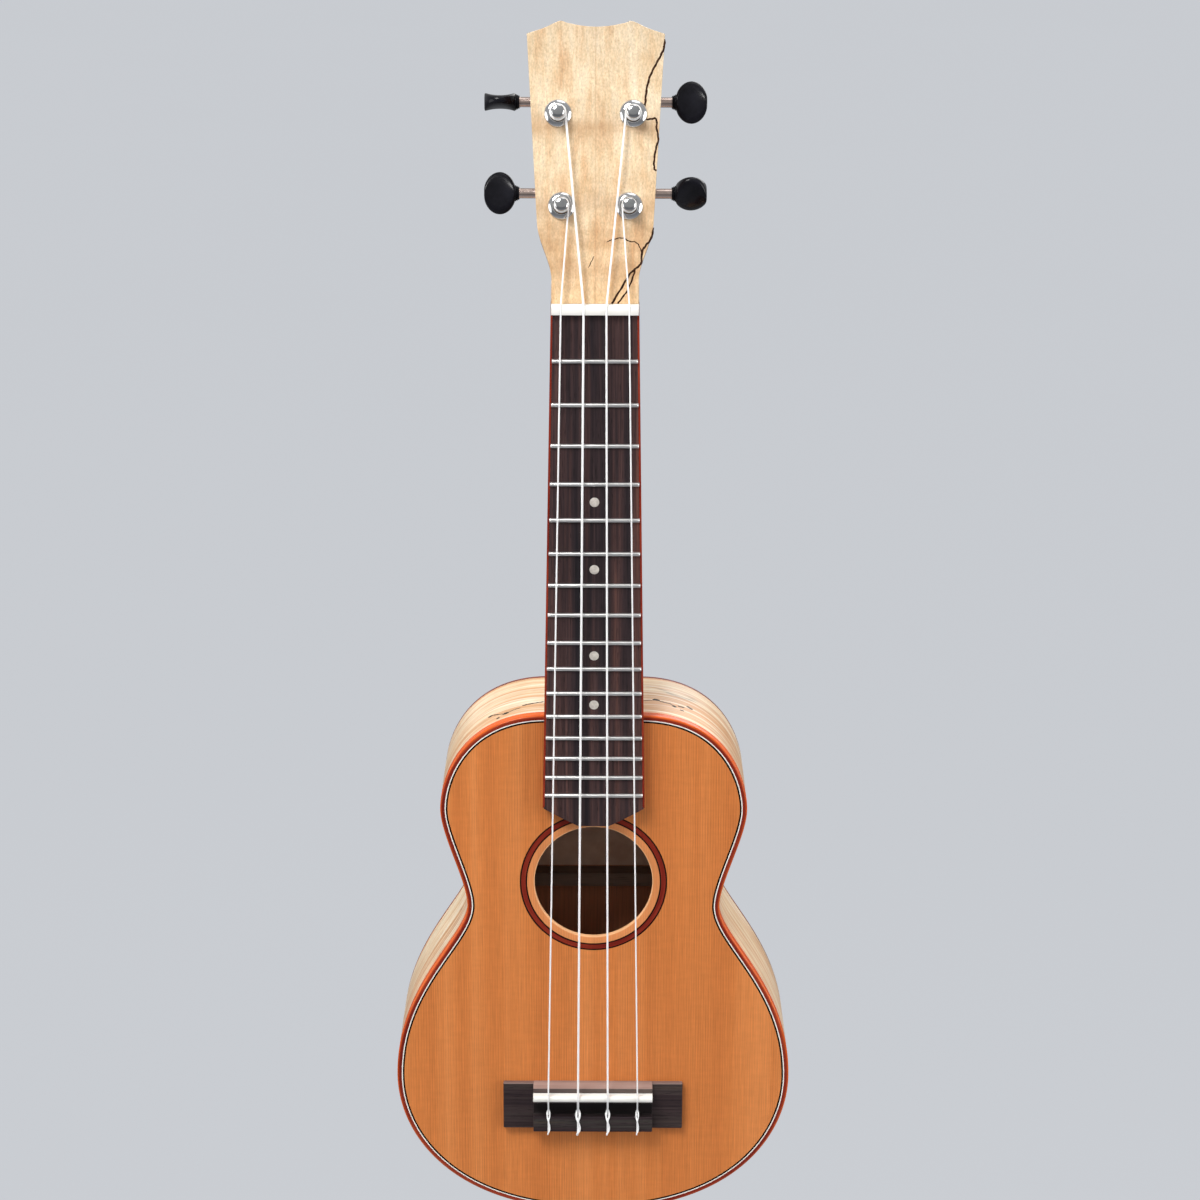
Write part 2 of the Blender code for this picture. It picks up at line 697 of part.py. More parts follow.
def make_bridge(parent):
    """Wings, saddle ridge, channel and tie block, as one side profile with its wings cut down."""
    seat = TOP_DEPTH - GAP
    ridge = TOP_DEPTH - BRIDGE_RIDGE_HEIGHT
    channel = TOP_DEPTH - BRIDGE_CHANNEL_HEIGHT
    tie_block = TOP_DEPTH - TIE_BLOCK_HEIGHT
    wing_top = TOP_DEPTH - BRIDGE_WING_HEIGHT
    profile = (
        (BRIDGE_FRONT, seat),
        (BRIDGE_FRONT, wing_top),
        (BRIDGE_FRONT + BRIDGE_FRONT_SLOPE, ridge),
        (BRIDGE_RIDGE_END, ridge),
        (BRIDGE_RIDGE_END, channel),
        (BRIDGE_CHANNEL_END, channel),
        (BRIDGE_CHANNEL_END, tie_block),
        (BRIDGE_END - TIE_BLOCK_SLOPE[0], tie_block),
        (BRIDGE_END, tie_block + TIE_BLOCK_SLOPE[1]),
        (BRIDGE_END, seat),
    )
    half = BRIDGE_WIDTH / 2
    centre_half = BRIDGE_CENTRE_WIDTH / 2
    rings = [[(side * half, y, z) for y, z in profile] for side in (-1, 1)]
    bridge = loft("bridge", rings, material=rosewood(), parent=parent)
    above = min(ridge, tie_block) - MM
    corners = []
    for low, high in ((-half - MM, -centre_half), (centre_half, half + MM)):
        corners.append(((low, BRIDGE_FRONT - MM, above), (high, BRIDGE_END + MM, wing_top)))
    cut(bridge, boxes("bridge_wing_cutter", corners, parent=parent))
    cut_saddle_slot(bridge, centre_half + MM, above, parent)
    cut_tie_holes(bridge, parent)


def cut_saddle_slot(bridge, reach, above, parent):
    side = SADDLE_THICKNESS / 2 + GAP
    floor = TOP_DEPTH - BRIDGE_RIDGE_HEIGHT + SADDLE_SLOT_DEPTH
    slot = ((-reach, SADDLE_STATION - side, above), (reach, SADDLE_STATION + side, floor))
    cut(bridge, boxes("saddle_slot_cutter", [slot], parent=parent))


def cut_tie_holes(bridge, parent):
    near = BRIDGE_CHANNEL_END - MM
    far = BRIDGE_END + MM
    profile = ((0, near), (TIE_HOLE_RADIUS, near), (TIE_HOLE_RADIUS, far), (0, far))
    for index in range(len(STRING_NAMES)):
        hole = lathe(f"tie_hole_cutter_{index}", profile, 12, axis="X", parent=parent)
        hole.rotation_euler = (0, 0, math.pi / 2)
        hole.location = (string_x(index, STRING_SADDLE_SPACING), 0, TIE_HOLE_DEPTH)
        cut(bridge, hole)


def make_saddle(parent):
    half = SADDLE_THICKNESS / 2
    floor = TOP_DEPTH - BRIDGE_RIDGE_HEIGHT + SADDLE_SLOT_DEPTH - GAP
    shoulder = SADDLE_TOP + SADDLE_CROWN_DROP
    profile = (
        (-half, floor),
        (half, floor),
        (half, shoulder),
        (SADDLE_CROWN_HALF, SADDLE_TOP),
        (-SADDLE_CROWN_HALF, SADDLE_TOP),
        (-half, shoulder),
    )
    half_length = BRIDGE_CENTRE_WIDTH / 2
    rings = [[(side * half_length, SADDLE_STATION + y, z) for y, z in profile] for side in (-1, 1)]
    loft("saddle", rings, material=bone(), parent=parent)


def fretboard_outline():
    """Tapered sides and a bracket-shaped end, as (x, station) points."""
    start = GAP
    corner = Vector((FRETBOARD_END_WIDTH / 2, FRETBOARD_END_STATION))
    tongue_half = FRETBOARD_TONGUE_WIDTH / 2
    tip = Vector((tongue_half, FRETBOARD_TIP_STATION))
    run = Vector((corner.x - tip.x, -FRETBOARD_TONGUE_LENGTH))
    inward = corner - run * Vector(FRETBOARD_CORNER_HANDLE)
    rising = tip + run * Vector(FRETBOARD_TONGUE_HANDLE)
    right = [Vector((fretboard_half(start), start))]
    right += bezier(corner, inward, rising, tip, 6)
    right.append(tip)
    points = [(p.x, p.y) for p in right]
    return points + [(-x, y) for x, y in reversed(points)]


def make_fretboard(parent):
    outline = fretboard_outline()
    board = prism("fretboard", outline, 0, FRETBOARD_THICKNESS, material=rosewood(), parent=parent)
    half = FRETBOARD_END_WIDTH / 2 + MM
    slot_half = FRET_TANG_WIDTH / 2 + GAP
    floor = FRET_TANG_DEPTH + GAP
    corners = []
    for number in range(1, FRET_COUNT + 1):
        station = fret_station(number)
        corners.append(((-half, station - slot_half, -MM), (half, station + slot_half, floor)))
    cut(board, boxes("fret_slot_cutter", corners, parent=parent))


def make_frets(parent):
    metal = nickel_silver()
    crown = FRET_CROWN_WIDTH / 2
    tang = FRET_TANG_WIDTH / 2
    low = -GAP
    top = low - FRET_CROWN_HEIGHT
    profile = (
        (-crown, low),
        (-0.75 * crown, low - 0.7 * FRET_CROWN_HEIGHT),
        (-0.25 * crown, top),
        (0.25 * crown, top),
        (0.75 * crown, low - 0.7 * FRET_CROWN_HEIGHT),
        (crown, low),
        (tang, low),
        (tang, FRET_TANG_DEPTH),
        (-tang, FRET_TANG_DEPTH),
        (-tang, low),
    )
    for number in range(1, FRET_COUNT + 1):
        station = fret_station(number)
        half = fretboard_half(station)
        rings = [[(side * half, station + y, z) for y, z in profile] for side in (-1, 1)]
        loft(f"fret_{number:02d}", rings, material=metal, parent=parent)


def make_nut(parent):
    profile = (
        (-NUT_THICKNESS, FRETBOARD_THICKNESS),
        (0, FRETBOARD_THICKNESS),
        (0, -NUT_RISE),
        (-NUT_FLAT_SHARE * NUT_THICKNESS, -NUT_RISE),
        (-NUT_THICKNESS, -NUT_BACK_SHARE * NUT_RISE),
    )
    rings = [[(side * NUT_WIDTH / 2, y, z) for y, z in profile] for side in (-1, 1)]
    nut = loft("nut", rings, material=bone(), parent=parent)
    corners = []
    for index, diameter in enumerate(STRING_DIAMETERS):
        x = string_x(index, STRING_NUT_SPACING)
        half = diameter / 2 + GAP
        back_corner = (x - half, -NUT_THICKNESS - MM, -NUT_RISE - MM)
        corners.append((back_corner, (x + half, MM, NUT_SLOT_DEPTH)))
    cut(nut, boxes("nut_slot_cutter", corners, parent=parent))


def head_matrix():
    """From headstock coordinates to instrument coordinates."""
    turn = Matrix.Rotation(-HEAD_TILT, 4, "X")
    return Matrix.Translation((0, HEAD_PIVOT_STATION, HEAD_FACE_DEPTH)) @ turn


def head_point(x, length, depth):
    """A point of the headstock, length above the nut and depth behind its face."""
    return head_matrix() @ Vector((x, -length, depth))


def head_outline(foot):
    """The headstock's face, as (x, y) points, from a foot just above the nut."""
    throat = (HEAD_THROAT_HALF, HEAD_THROAT_LENGTH)
    shoulder = (HEAD_SHOULDER_HALF, HEAD_SHOULDER_LENGTH)
    right = [(HEAD_THROAT_HALF, foot), throat]
    for step in range(1, 5):
        share = step / 5
        ease = share * share * (3 - 2 * share)
        x = throat[0] + (shoulder[0] - throat[0]) * ease
        right.append((x, throat[1] + (shoulder[1] - throat[1]) * share))
    right.append(shoulder)
    right.append((HEAD_CORNER_HALF, HEAD_CORNER_LENGTH))
    crest = HEAD_CORNER_LENGTH + HEAD_PEAK_RISE
    middle = (HEAD_CORNER_HALF + HEAD_PEAK_HALF) / 2
    right.append((middle + HEAD_OGEE_OUTSET, HEAD_CORNER_LENGTH + 0.34 * HEAD_PEAK_RISE))
    right.append((middle - HEAD_OGEE_INSET, HEAD_CORNER_LENGTH + 0.56 * HEAD_PEAK_RISE))
    right.append((HEAD_PEAK_HALF, crest))
    fall = 0.35 * (HEAD_PEAK_RISE - HEAD_DIP_RISE)
    right.append((HEAD_PEAK_HALF - HEAD_PEAK_ROUND, crest - fall))
    right.append((0.4 * HEAD_PEAK_HALF, HEAD_CORNER_LENGTH + 1.15 * HEAD_DIP_RISE))
    points = [(x, -y) for x, y in right]
    left = [(-x, y) for x, y in reversed(points)]
    return points + [(0, -HEAD_CORNER_LENGTH - HEAD_DIP_RISE)] + left


def post_holes(name, low, high, parent):
    """One object with the four round bushing holes."""
    verts = []
    faces = []
    count = 16
    for side, half, length, _ in TUNERS.values():
        start = len(verts)
        outline = circle(BUSHING_SLEEVE_RADIUS + GAP, count, (side * half, -length))
        verts += [(x, y, low) for x, y in outline] + [(x, y, high) for x, y in outline]
        faces.append(tuple(start + i for i in range(count)))
        faces.append(tuple(start + 2 * count - 1 - i for i in range(count)))
        for i in range(count):
            j = (i + 1) % count
            faces.append((start + i, start + j, start + count + j, start + count + i))
    return solid(name, verts, faces, parent=parent)


def make_headplate(head):
    outline = head_outline(HEADPLATE_FOOT)
    plate = prism("headplate", outline, 0, HEADPLATE_THICKNESS, material=spalted_maple(), parent=head)
    cut(plate, post_holes("headplate_cutter", -MM, HEADPLATE_THICKNESS + MM, head))


def neck_ring(half, top, bottom, roundness=1.0, foot=None, fullness=1.0):
    """A section with a flat top, half round at roundness 1 and squarer below it.

    It stands between a point at its top and one at its bottom. A foot narrows its
    lowest point towards a heel, whose sides stand fuller.
    """
    steps = 12
    ring = []
    for i in range(steps + 1):
        angle = math.pi * i / steps
        spread = abs(math.cos(angle)) ** (roundness * fullness)
        across = math.copysign(spread, math.cos(angle))
        down = abs(math.sin(angle)) ** roundness
        width = half if foot is None else half + (foot - half) * down
        spot = top.lerp(bottom, down)
        ring.append(Vector((across * width, spot.y, spot.z)))
    return ring


def throat_rings():
    """From inside the headstock's slab down to the ledge behind the nut."""
    lift = NECK_FACE + THROAT_INSET
    rings = []
    for face_share, back_share, wider, thicker, roundness in THROAT_SECTIONS:
        top = head_point(0, face_share * HEAD_THROAT_LENGTH, lift)
        bottom = head_point(0, back_share * HEAD_THROAT_LENGTH, HEAD_THICKNESS + thicker)
        rings.append(neck_ring(HEAD_THROAT_HALF + wider, top, bottom, roundness))
    ledge = straight_ring(-NUT_THICKNESS - GAP - NUT_LEDGE_LEAN, NECK_NUT_DEPTH)
    for end in (0, -1):
        ledge[end] = head_point(ledge[end].x, HEADPLATE_FOOT, lift)
    return rings + [ledge]


def heel_depth(share):
    """The neck's depth from the heel's start, 0, to the body, 1."""
    full = BACK_DEPTH - TOP_DEPTH - HEEL_FOOT_CLEARANCE
    return NECK_HEEL_START_DEPTH + (full - NECK_HEEL_START_DEPTH) * share**HEEL_FLARE


def straight_ring(station, depth, foot=None, fullness=1.0):
    """A section of the neck under the fretboard, square to it."""
    top = Vector((0, station, TOP_DEPTH))
    bottom = Vector((0, station, TOP_DEPTH + depth))
    return neck_ring(fretboard_half(max(station, 0)), top, bottom, 1.0, foot, fullness)


def make_neck(instrument, head):
    start = -NUT_THICKNESS - GAP
    heel_start = BODY_STATION - GAP - HEEL_LENGTH
    rings = throat_rings()
    for step in range(5):
        share = step / 4
        depth = NECK_NUT_DEPTH + (NECK_HEEL_START_DEPTH - NECK_NUT_DEPTH) * share
        rings.append(straight_ring(start + (heel_start - start) * share, depth))
    for step in range(1, 8):
        share = step / 7
        station = heel_start + HEEL_LENGTH * share
        half = fretboard_half(station)
        foot = half + (HEEL_FOOT_HALF - half) * share
        fullness = 1 - (1 - HEEL_FULLNESS) * share
        rings.append(straight_ring(station, heel_depth(share), foot, fullness))
    neck = loft("neck", rings, material=mahogany(), parent=instrument, smooth=True)
    outline = head_outline(HEAD_THROAT_LENGTH - SLAB_LAP)
    slab = prism("head_slab", outline, NECK_FACE, HEAD_THICKNESS, parent=head)
    cut(neck, slab, "UNION")
    cut(neck, post_holes("neck_cutter", -MM, HEAD_THICKNESS + MM, head))


def make_bushing(name, location, head):
    bore = POST_RADIUS + GAP
    seat = -GAP
    crest = seat - BUSHING_FLANGE_HEIGHT
    profile = (
        (bore, BUSHING_SLEEVE_LENGTH),
        (bore, crest + 0.35 * BUSHING_FLANGE_HEIGHT),
        (0.72 * BUSHING_FLANGE_RADIUS, crest),
        (0.93 * BUSHING_FLANGE_RADIUS, crest + 0.4 * BUSHING_FLANGE_HEIGHT),
        (BUSHING_FLANGE_RADIUS, seat),
        (BUSHING_SLEEVE_RADIUS, seat),
        (BUSHING_SLEEVE_RADIUS, BUSHING_SLEEVE_LENGTH),
    )
    place(lathe(name, profile, 18, material=chrome(), smooth=True), head, location)


def make_tuner_plate(name, location, head):
    """A base plate with two ears that carry the worm, all in one stamping."""
    half = EAR_END + TUNER_PLATE_MARGIN
    tip = -WORM_OFFSET - TUNER_PLATE_TIP
    base = ((-half, tip, PLATE_FRONT), (half, TUNER_PLATE_TAIL, PLATE_BACK))
    plate = place(boxes(name, [base], material=chrome()), head, location)
    ear_front = PLATE_FRONT + TUNER_PLATE_THICKNESS / 2
    ear_back = WORM_DEPTH + EAR_HALF_WIDTH
    ears = []
    for way in (-1, 1):
        low, high = sorted((way * EAR_INSIDE, way * EAR_END))
        low_corner = (low, -WORM_OFFSET - EAR_HALF_WIDTH, ear_front)
        ears.append((low_corner, (high, -WORM_OFFSET + EAR_HALF_WIDTH, ear_back)))
    cut(plate, place(boxes(f"{name}_ears", ears), head, location), "UNION")
    bore = disc(f"{name}_bore", POST_RADIUS + GAP, PLATE_FRONT - MM, PLATE_BACK + MM, 16)
    cut(plate, place(bore, head, location))
    reach = EAR_END + MM
    stub = WORM_STUB_RADIUS + GAP
    profile = ((0, -reach), (stub, -reach), (stub, reach), (0, reach))
    pin = lathe(f"{name}_pin", profile, 12, axis="X")
    cut(plate, place(pin, head, (location[0], location[1] - WORM_OFFSET, WORM_DEPTH)))


def gear_ring(depth):
    """One outline of the wheel; its teeth lean with the worm's thread."""
    lean = WORM_LEAD / (2 * math.pi * WORM_PITCH_RADIUS)
    twist = lean * (WORM_DEPTH - depth) / GEAR_PITCH_RADIUS
    tip = GEAR_PITCH_RADIUS + TOOTH_ADDENDUM * GEAR_MODULE
    root = GEAR_PITCH_RADIUS - TOOTH_DEDENDUM * GEAR_MODULE
    pitch_angle = 2 * math.pi / GEAR_TEETH
    half = TOOTH_SHARE / 2 * pitch_angle
    flank = TOOTH_FLANK / 2 * half
    corners = (
        (root, -half - flank),
        (tip, -half + flank),
        (tip, half - flank),
        (root, half + flank),
    )
    ring = []
    for tooth in range(GEAR_TEETH):
        for radius, offset in corners:
            angle = tooth * pitch_angle + offset + twist
            ring.append((-radius * math.sin(angle), -radius * math.cos(angle), depth))
    return ring


def make_post(name, location, head):
    """String post, shaft and toothed wheel, turned as one piece on its axis."""
    near = WORM_DEPTH - GEAR_WIDTH / 2
    far = WORM_DEPTH + GEAR_WIDTH / 2
    cap_edge = POST_GROOVE_BACK - POST_GROOVE_LENGTH
    cap_top = cap_edge - POST_CAP_HEIGHT
    hub = POST_HUB_SHARE * GEAR_PITCH_RADIUS
    profile = (
        (0, cap_top),
        (0.55 * POST_CAP_RADIUS, cap_top + 0.12 * POST_CAP_HEIGHT),
        (POST_CAP_RADIUS, cap_edge - 0.4 * POST_CAP_HEIGHT),
        (POST_CAP_RADIUS, cap_edge),
        (POST_GROOVE_RADIUS, cap_edge + POST_GROOVE_TAPER),
        (POST_GROOVE_RADIUS, POST_GROOVE_BACK - POST_GROOVE_TAPER),
        (POST_RADIUS, POST_GROOVE_BACK),
        (POST_RADIUS, near - POST_HUB_FRONT),
        (hub, near - POST_HUB_FRONT),
        (hub, far + POST_HUB_BACK),
        (0, far + POST_HUB_BACK),
    )
    post = lathe(name, profile, 14, material=chrome(), smooth=True)
    place(post, head, location)
    wheel = loft(f"{name}_wheel", [gear_ring(depth) for depth in (near, far)])
    cut(post, place(wheel, head, location), "UNION")


def thread_ring(angle, centre):
    """A section across the worm's thread at an angle round the shaft."""
    half = TOOTH_SHARE / 2 * WORM_LEAD
    flank = TOOTH_FLANK / 2 * half
    sunk = WORM_ROOT_RADIUS - WORM_THREAD_SUNK
    spread = 2 * WORM_THREAD_SUNK / (WORM_TIP_RADIUS - WORM_ROOT_RADIUS)
    base = half + flank * (1 + spread)
    corners = (
        (sunk, -base),
        (WORM_TIP_RADIUS, -half + flank),
        (WORM_TIP_RADIUS, half - flank),
        (sunk, base),
    )
    ring = []
    for radius, offset in corners:
        ring.append((centre + offset, -radius * math.cos(angle), -radius * math.sin(angle)))
    return ring


def make_worm(name, side, knob, post_half):
    """The knob's shaft: a stub in each ear, the worm between them and the plain shaft outside."""
    shaft_start = EAR_END + GAP
    shaft_end = KNOB_REACH - post_half - GAP
    stem_end = shaft_end + BUTTON_BORE_DEPTH
    profile = (
        (0, -EAR_END - WORM_STUB_END),
        (WORM_STUB_RADIUS, -EAR_END - WORM_STUB_END),
        (WORM_STUB_RADIUS, -WORM_HALF_LENGTH),
        (WORM_ROOT_RADIUS, -WORM_HALF_LENGTH),
        (WORM_ROOT_RADIUS, WORM_HALF_LENGTH),
        (WORM_STUB_RADIUS, WORM_HALF_LENGTH),
        (WORM_STUB_RADIUS, shaft_start),
        (KNOB_SHAFT_RADIUS, shaft_start),
        (KNOB_SHAFT_RADIUS, shaft_end),
        (WORM_STUB_RADIUS, shaft_end),
        (WORM_STUB_RADIUS, stem_end),
        (0, stem_end),
    )
    placed = [(radius, side * along) for radius, along in profile]
    shaft = lathe(name, placed, 12, axis="X", material=bronze(), smooth=True)
    shaft.parent = knob
    rings = []
    for step in range(int(WORM_TURNS * WORM_TURN_POINTS) + 1):
        turn = step / WORM_TURN_POINTS - WORM_TURNS / 2
        angle = math.pi + 2 * math.pi * (turn - 0.5)
        rings.append(thread_ring(angle, turn * WORM_LEAD))
    thread = loft(f"{name}_thread", rings)
    thread.parent = knob
    cut(shaft, thread, "UNION")


def make_button(name, side, knob, post_half, turn):
    """An oval knob, thick at both ends and waisted between them."""
    start = KNOB_REACH - post_half
    rings = []
    for share in BUTTON_SECTIONS:
        reach = 2 * share - 1
        height = BUTTON_HALF_HEIGHT * math.sqrt(1 - 0.9 * reach * reach)
        thick = BUTTON_WAIST_HALF + (BUTTON_END_HALF - BUTTON_WAIST_HALF) * reach * reach
        if share in (0, 1):
            height *= BUTTON_FACE_SHARES[0]
            thick *= BUTTON_FACE_SHARES[1]
        ring = []
        for i in range(16):
            angle = 2 * math.pi * i / 16
            y = height * math.cos(angle)
            z = math.copysign(thick * abs(math.sin(angle)) ** 0.7, math.sin(angle))
            ring.append((side * (start + BUTTON_LENGTH * share), y, z))
        rings.append(ring)
    button = loft(name, rings, material=black_plastic(), smooth=True)
    button.parent = knob
    button.rotation_euler = (turn, 0, 0)
    bore = WORM_STUB_RADIUS + GAP
    low = side * (start - MM)
    high = side * (start + BUTTON_BORE_DEPTH)
    profile = ((0, low), (bore, low), (bore, high), (0, high))
    cutter = lathe(f"{name}_bore", profile, 12, axis="X")
    cutter.parent = knob
    cut(button, cutter)


def make_tuners(head):
    for name, (side, half, length, turn) in TUNERS.items():
        location = (side * half, -length, 0)
        make_bushing(f"bushing_{name}", location, head)
        make_tuner_plate(f"tuner_plate_{name}", location, head)
        make_post(f"string_post_{name}", location, head)
        knob = make_empty(f"knob_axis_{name}", head)
        knob.location = (side * half, -length - WORM_OFFSET, WORM_DEPTH)
        make_worm(f"worm_shaft_{name}", side, knob, half)
        make_button(f"button_{name}", side, knob, half, math.radians(turn))


def string_route(index):
    """The tied end, the saddle, the nut and the turns on the post, as one line of points."""
    diameter = STRING_DIAMETERS[index]
    lay = diameter / 2 + GAP
    saddle_x = string_x(index, STRING_SADDLE_SPACING)
    nut_x = string_x(index, STRING_NUT_SPACING)
    block_top = TOP_DEPTH - TIE_BLOCK_HEIGHT - lay
    saddle = SADDLE_TOP - lay
    saddle_back = SADDLE_STATION + SADDLE_THICKNESS / 2 + lay
    tied = (
        (BRIDGE_CHANNEL_END + STRING_BEND, block_top),
        (BRIDGE_END - STRING_BEND, block_top),
        (BRIDGE_END + STRING_BEND, block_top + STRING_BEND),
        (BRIDGE_END + 1.6 * STRING_BEND, (block_top + TIE_HOLE_DEPTH) / 2),
        (BRIDGE_END + STRING_BEND, TIE_HOLE_DEPTH - 0.2 * STRING_BEND),
        (BRIDGE_END - 0.4 * STRING_BEND, TIE_HOLE_DEPTH),
        (BRIDGE_CHANNEL_END, TIE_HOLE_DEPTH),
        (BRIDGE_CHANNEL_END - STRING_BEND, TIE_HOLE_DEPTH - 0.5 * STRING_BEND),
        (saddle_back, saddle + STRING_SADDLE_DROP),
        (SADDLE_STATION + SADDLE_CROWN_HALF, saddle + 0.1 * STRING_BEND),
        (SADDLE_STATION, saddle),
    )
    points = [Vector((saddle_x, y, z)) for y, z in tied]
    slot = NUT_SLOT_DEPTH - lay
    nut_front = Vector((nut_x, 0, slot))
    over_saddle = points[-1]
    for share in (0.35, 0.7):
        points.append(over_saddle.lerp(nut_front, share))
    points.append(nut_front)
    points.append(Vector((nut_x, -NUT_THICKNESS, slot)))
    return points + post_turns(index, nut_x, lay)


def post_turns(index, nut_x, lay):
    """From the nut to the post's inner side, then round it, climbing towards the cap."""
    side, half, length, _ = TUNERS[STRING_TUNERS[index]]
    radius = POST_GROOVE_RADIUS + lay
    centre = Vector((side * half, -length))
    pitch = STRING_DIAMETERS[index] + STRING_LEAST_GAP
    start_depth = POST_GROOVE_BACK - POST_GROOVE_TAPER - lay
    foot = Vector((nut_x, 0))
    run = centre - foot
    heading = math.atan2(run.y, run.x)
    first = heading - side * (math.asin(radius / run.length) + math.pi / 2)
    touch = centre + Vector((math.cos(first), math.sin(first))) * radius
    count = int(STRING_TURNS * STRING_LOOP_POINTS)
    turns = []
    for step in range(count + 1):
        angle = first + side * 2 * math.pi * step / STRING_LOOP_POINTS
        depth = start_depth - pitch * step / STRING_LOOP_POINTS
        spot = centre + Vector((math.cos(angle), math.sin(angle))) * radius
        turns.append(head_point(spot.x, -spot.y, depth))
    middle = head_point((foot.x + touch.x) / 2, -(foot.y + touch.y) / 2, start_depth)
    return [middle] + turns


def string_gap(points, diameter):
    """The least gap between two turns of one string on its post."""
    loops = points[-int(STRING_TURNS * STRING_LOOP_POINTS) - 1 :]
    least = None
    for i, point in enumerate(loops):
        for other in loops[i + STRING_LOOP_POINTS // 2 :]:
            distance = (point - other).length
            if least is None or distance < least:
                least = distance
    return least - diameter


def make_strings(parent):
    material = nylon()
    for index, name in enumerate(STRING_NAMES):
        points = string_route(index)
        curve = bpy.data.curves.new(f"string_{name}", "CURVE")
        curve.dimensions = "3D"
        curve.bevel_depth = STRING_DIAMETERS[index] / 2
        curve.bevel_resolution = 1
        curve.use_fill_caps = True
        spline = curve.splines.new("POLY")
        spline.points.add(len(points) - 1)
        for spot, point in zip(spline.points, points):
            spot.co = (*point, 1.0)
        curve.materials.append(material)
        obj = bpy.data.objects.new(f"string_{name}", curve)
        bpy.context.collection.objects.link(obj)
        obj.parent = parent
        gap = string_gap(points, STRING_DIAMETERS[index])
        print(f"string_{name}: least gap between turns {gap / MM:.2f} mm")


def main():
    clear_scene()
    instrument = make_empty("instrument")
    instrument.location = (0, -ORIGIN_DEPTH, ORIGIN_STATION)
    instrument.rotation_euler = (-math.pi / 2, 0, 0)
    head = make_empty("head", instrument)
    head.matrix_local = head_matrix()
    make_soundboard(instrument)
    make_rosette(instrument)
    make_back(instrument)
    make_bindings(instrument)
    make_ribs(instrument)
    make_linings(instrument)
    make_blocks(instrument)
    make_braces(instrument)
    make_bridge(instrument)
    make_saddle(instrument)
    make_fretboard(instrument)
    make_frets(instrument)
    make_nut(instrument)
    make_neck(instrument, head)
    make_headplate(head)
    make_tuners(head)
    make_strings(instrument)


main()
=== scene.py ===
"""Looks for the soprano ukulele: finer shells, inlays, tied strings and procedural finishes
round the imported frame.

Sizes are in millimetres, in the same coordinates as the CAD source: x across, the station
from the nut towards the tail and the depth behind the fretboard's top, or on the headstock
the length above the nut and the depth behind its face. spot() and head_spot() turn them
into metres of the frame.
"""

import bisect
import math
from functools import partial

import bmesh
import bpy
from mathutils import Matrix, Vector


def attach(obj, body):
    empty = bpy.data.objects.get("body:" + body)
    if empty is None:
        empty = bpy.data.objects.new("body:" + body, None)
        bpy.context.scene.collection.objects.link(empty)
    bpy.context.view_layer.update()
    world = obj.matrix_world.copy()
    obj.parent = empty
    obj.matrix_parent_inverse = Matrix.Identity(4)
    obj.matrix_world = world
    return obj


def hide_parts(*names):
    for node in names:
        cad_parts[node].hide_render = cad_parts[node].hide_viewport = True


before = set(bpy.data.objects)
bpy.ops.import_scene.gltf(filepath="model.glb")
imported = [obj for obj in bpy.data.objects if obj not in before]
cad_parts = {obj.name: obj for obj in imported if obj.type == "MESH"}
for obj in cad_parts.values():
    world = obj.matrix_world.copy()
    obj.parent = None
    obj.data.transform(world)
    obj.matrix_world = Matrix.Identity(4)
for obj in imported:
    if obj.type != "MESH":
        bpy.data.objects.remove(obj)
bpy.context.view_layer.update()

MM = 0.001
CLEAR = 0.02  # left between pieces that touch
SIDES = (("left", -1), ("right", 1))

# Placement and outline, as in the CAD source
ORIGIN_STATION = -20.0
ORIGIN_DEPTH = 12.0
SCALE_LENGTH = 346.0
FRET_COUNT = 16
BODY_STATION = SCALE_LENGTH / 2 + 1.6
BODY_LENGTH = 234.5
TAIL_STATION = BODY_STATION + BODY_LENGTH
NECK_FLAT_HALF = 20.0
UPPER_BOUT = (66.0, 43.0)
WAIST = (54.7, 87.4)
LOWER_BOUT = (86.4, 168.4)
CURVE_HANDLES = ((0.77, 0.35), (0.27, 0.25), (0.20, 0.53), (0.45, 0.72))
CURVE_STEPS = (30, 22, 34, 38)
FLAT_STEPS = 7
TOP_DEPTH = 5.5
BACK_DEPTH = 59.5
PLATE_THICKNESS = 2.2
RIB_THICKNESS = 2.0
RIB_LEVELS = 10
BINDING_WIDTH = 2.0
TOP_BINDING_DEPTH = 5.0
BACK_BINDING_DEPTH = 2.6
BINDING_ROUND = 0.9
WHITE_LINE_END = 2.44
BLACK_LINE_END = 3.2
LINE_DEPTH = 1.2
SOUNDHOLE_STATION = BODY_STATION + 76.2
SOUNDHOLE_RADIUS = 25.5
ROSETTE_INNER = 28.7
ROSETTE_OUTER = 31.9
ROSETTE_LINE = 0.65
ROSETTE_DEPTH = 1.1
RING_STEPS = 180
LABEL_HALF = 26.0
LABEL_LENGTH = 42.0
LABEL_STATION = SOUNDHOLE_STATION + 12.8

# Fretboard
FRETBOARD_THICKNESS = 5.2
FRETBOARD_HALVES = (18.1, 21.8)
FRETBOARD_TIP = SOUNDHOLE_STATION - SOUNDHOLE_RADIUS - 2.5
FRETBOARD_END = FRETBOARD_TIP - 8.2
TONGUE_HALF = 6.5
EDGING_WIDTH = 0.9
FRET_HALF_WIDTH = 0.9
FRET_HEIGHT = 1.2
FRET_END_LEAN = 0.8
FRET_ENDS = ((0.0, 0.55), (0.375, 0.93), (1.0, 1.0))
DOT_FRETS = (5, 7, 10, 12)
DOT_RADIUS = 2.0
NUT_THICKNESS = 4.0
NUT_HALF = 17.8
NUT_RISE = 2.0
NUT_ROUND = 0.4
SLOT_DEPTH = -1.3
SLOT_PLAY = 0.06

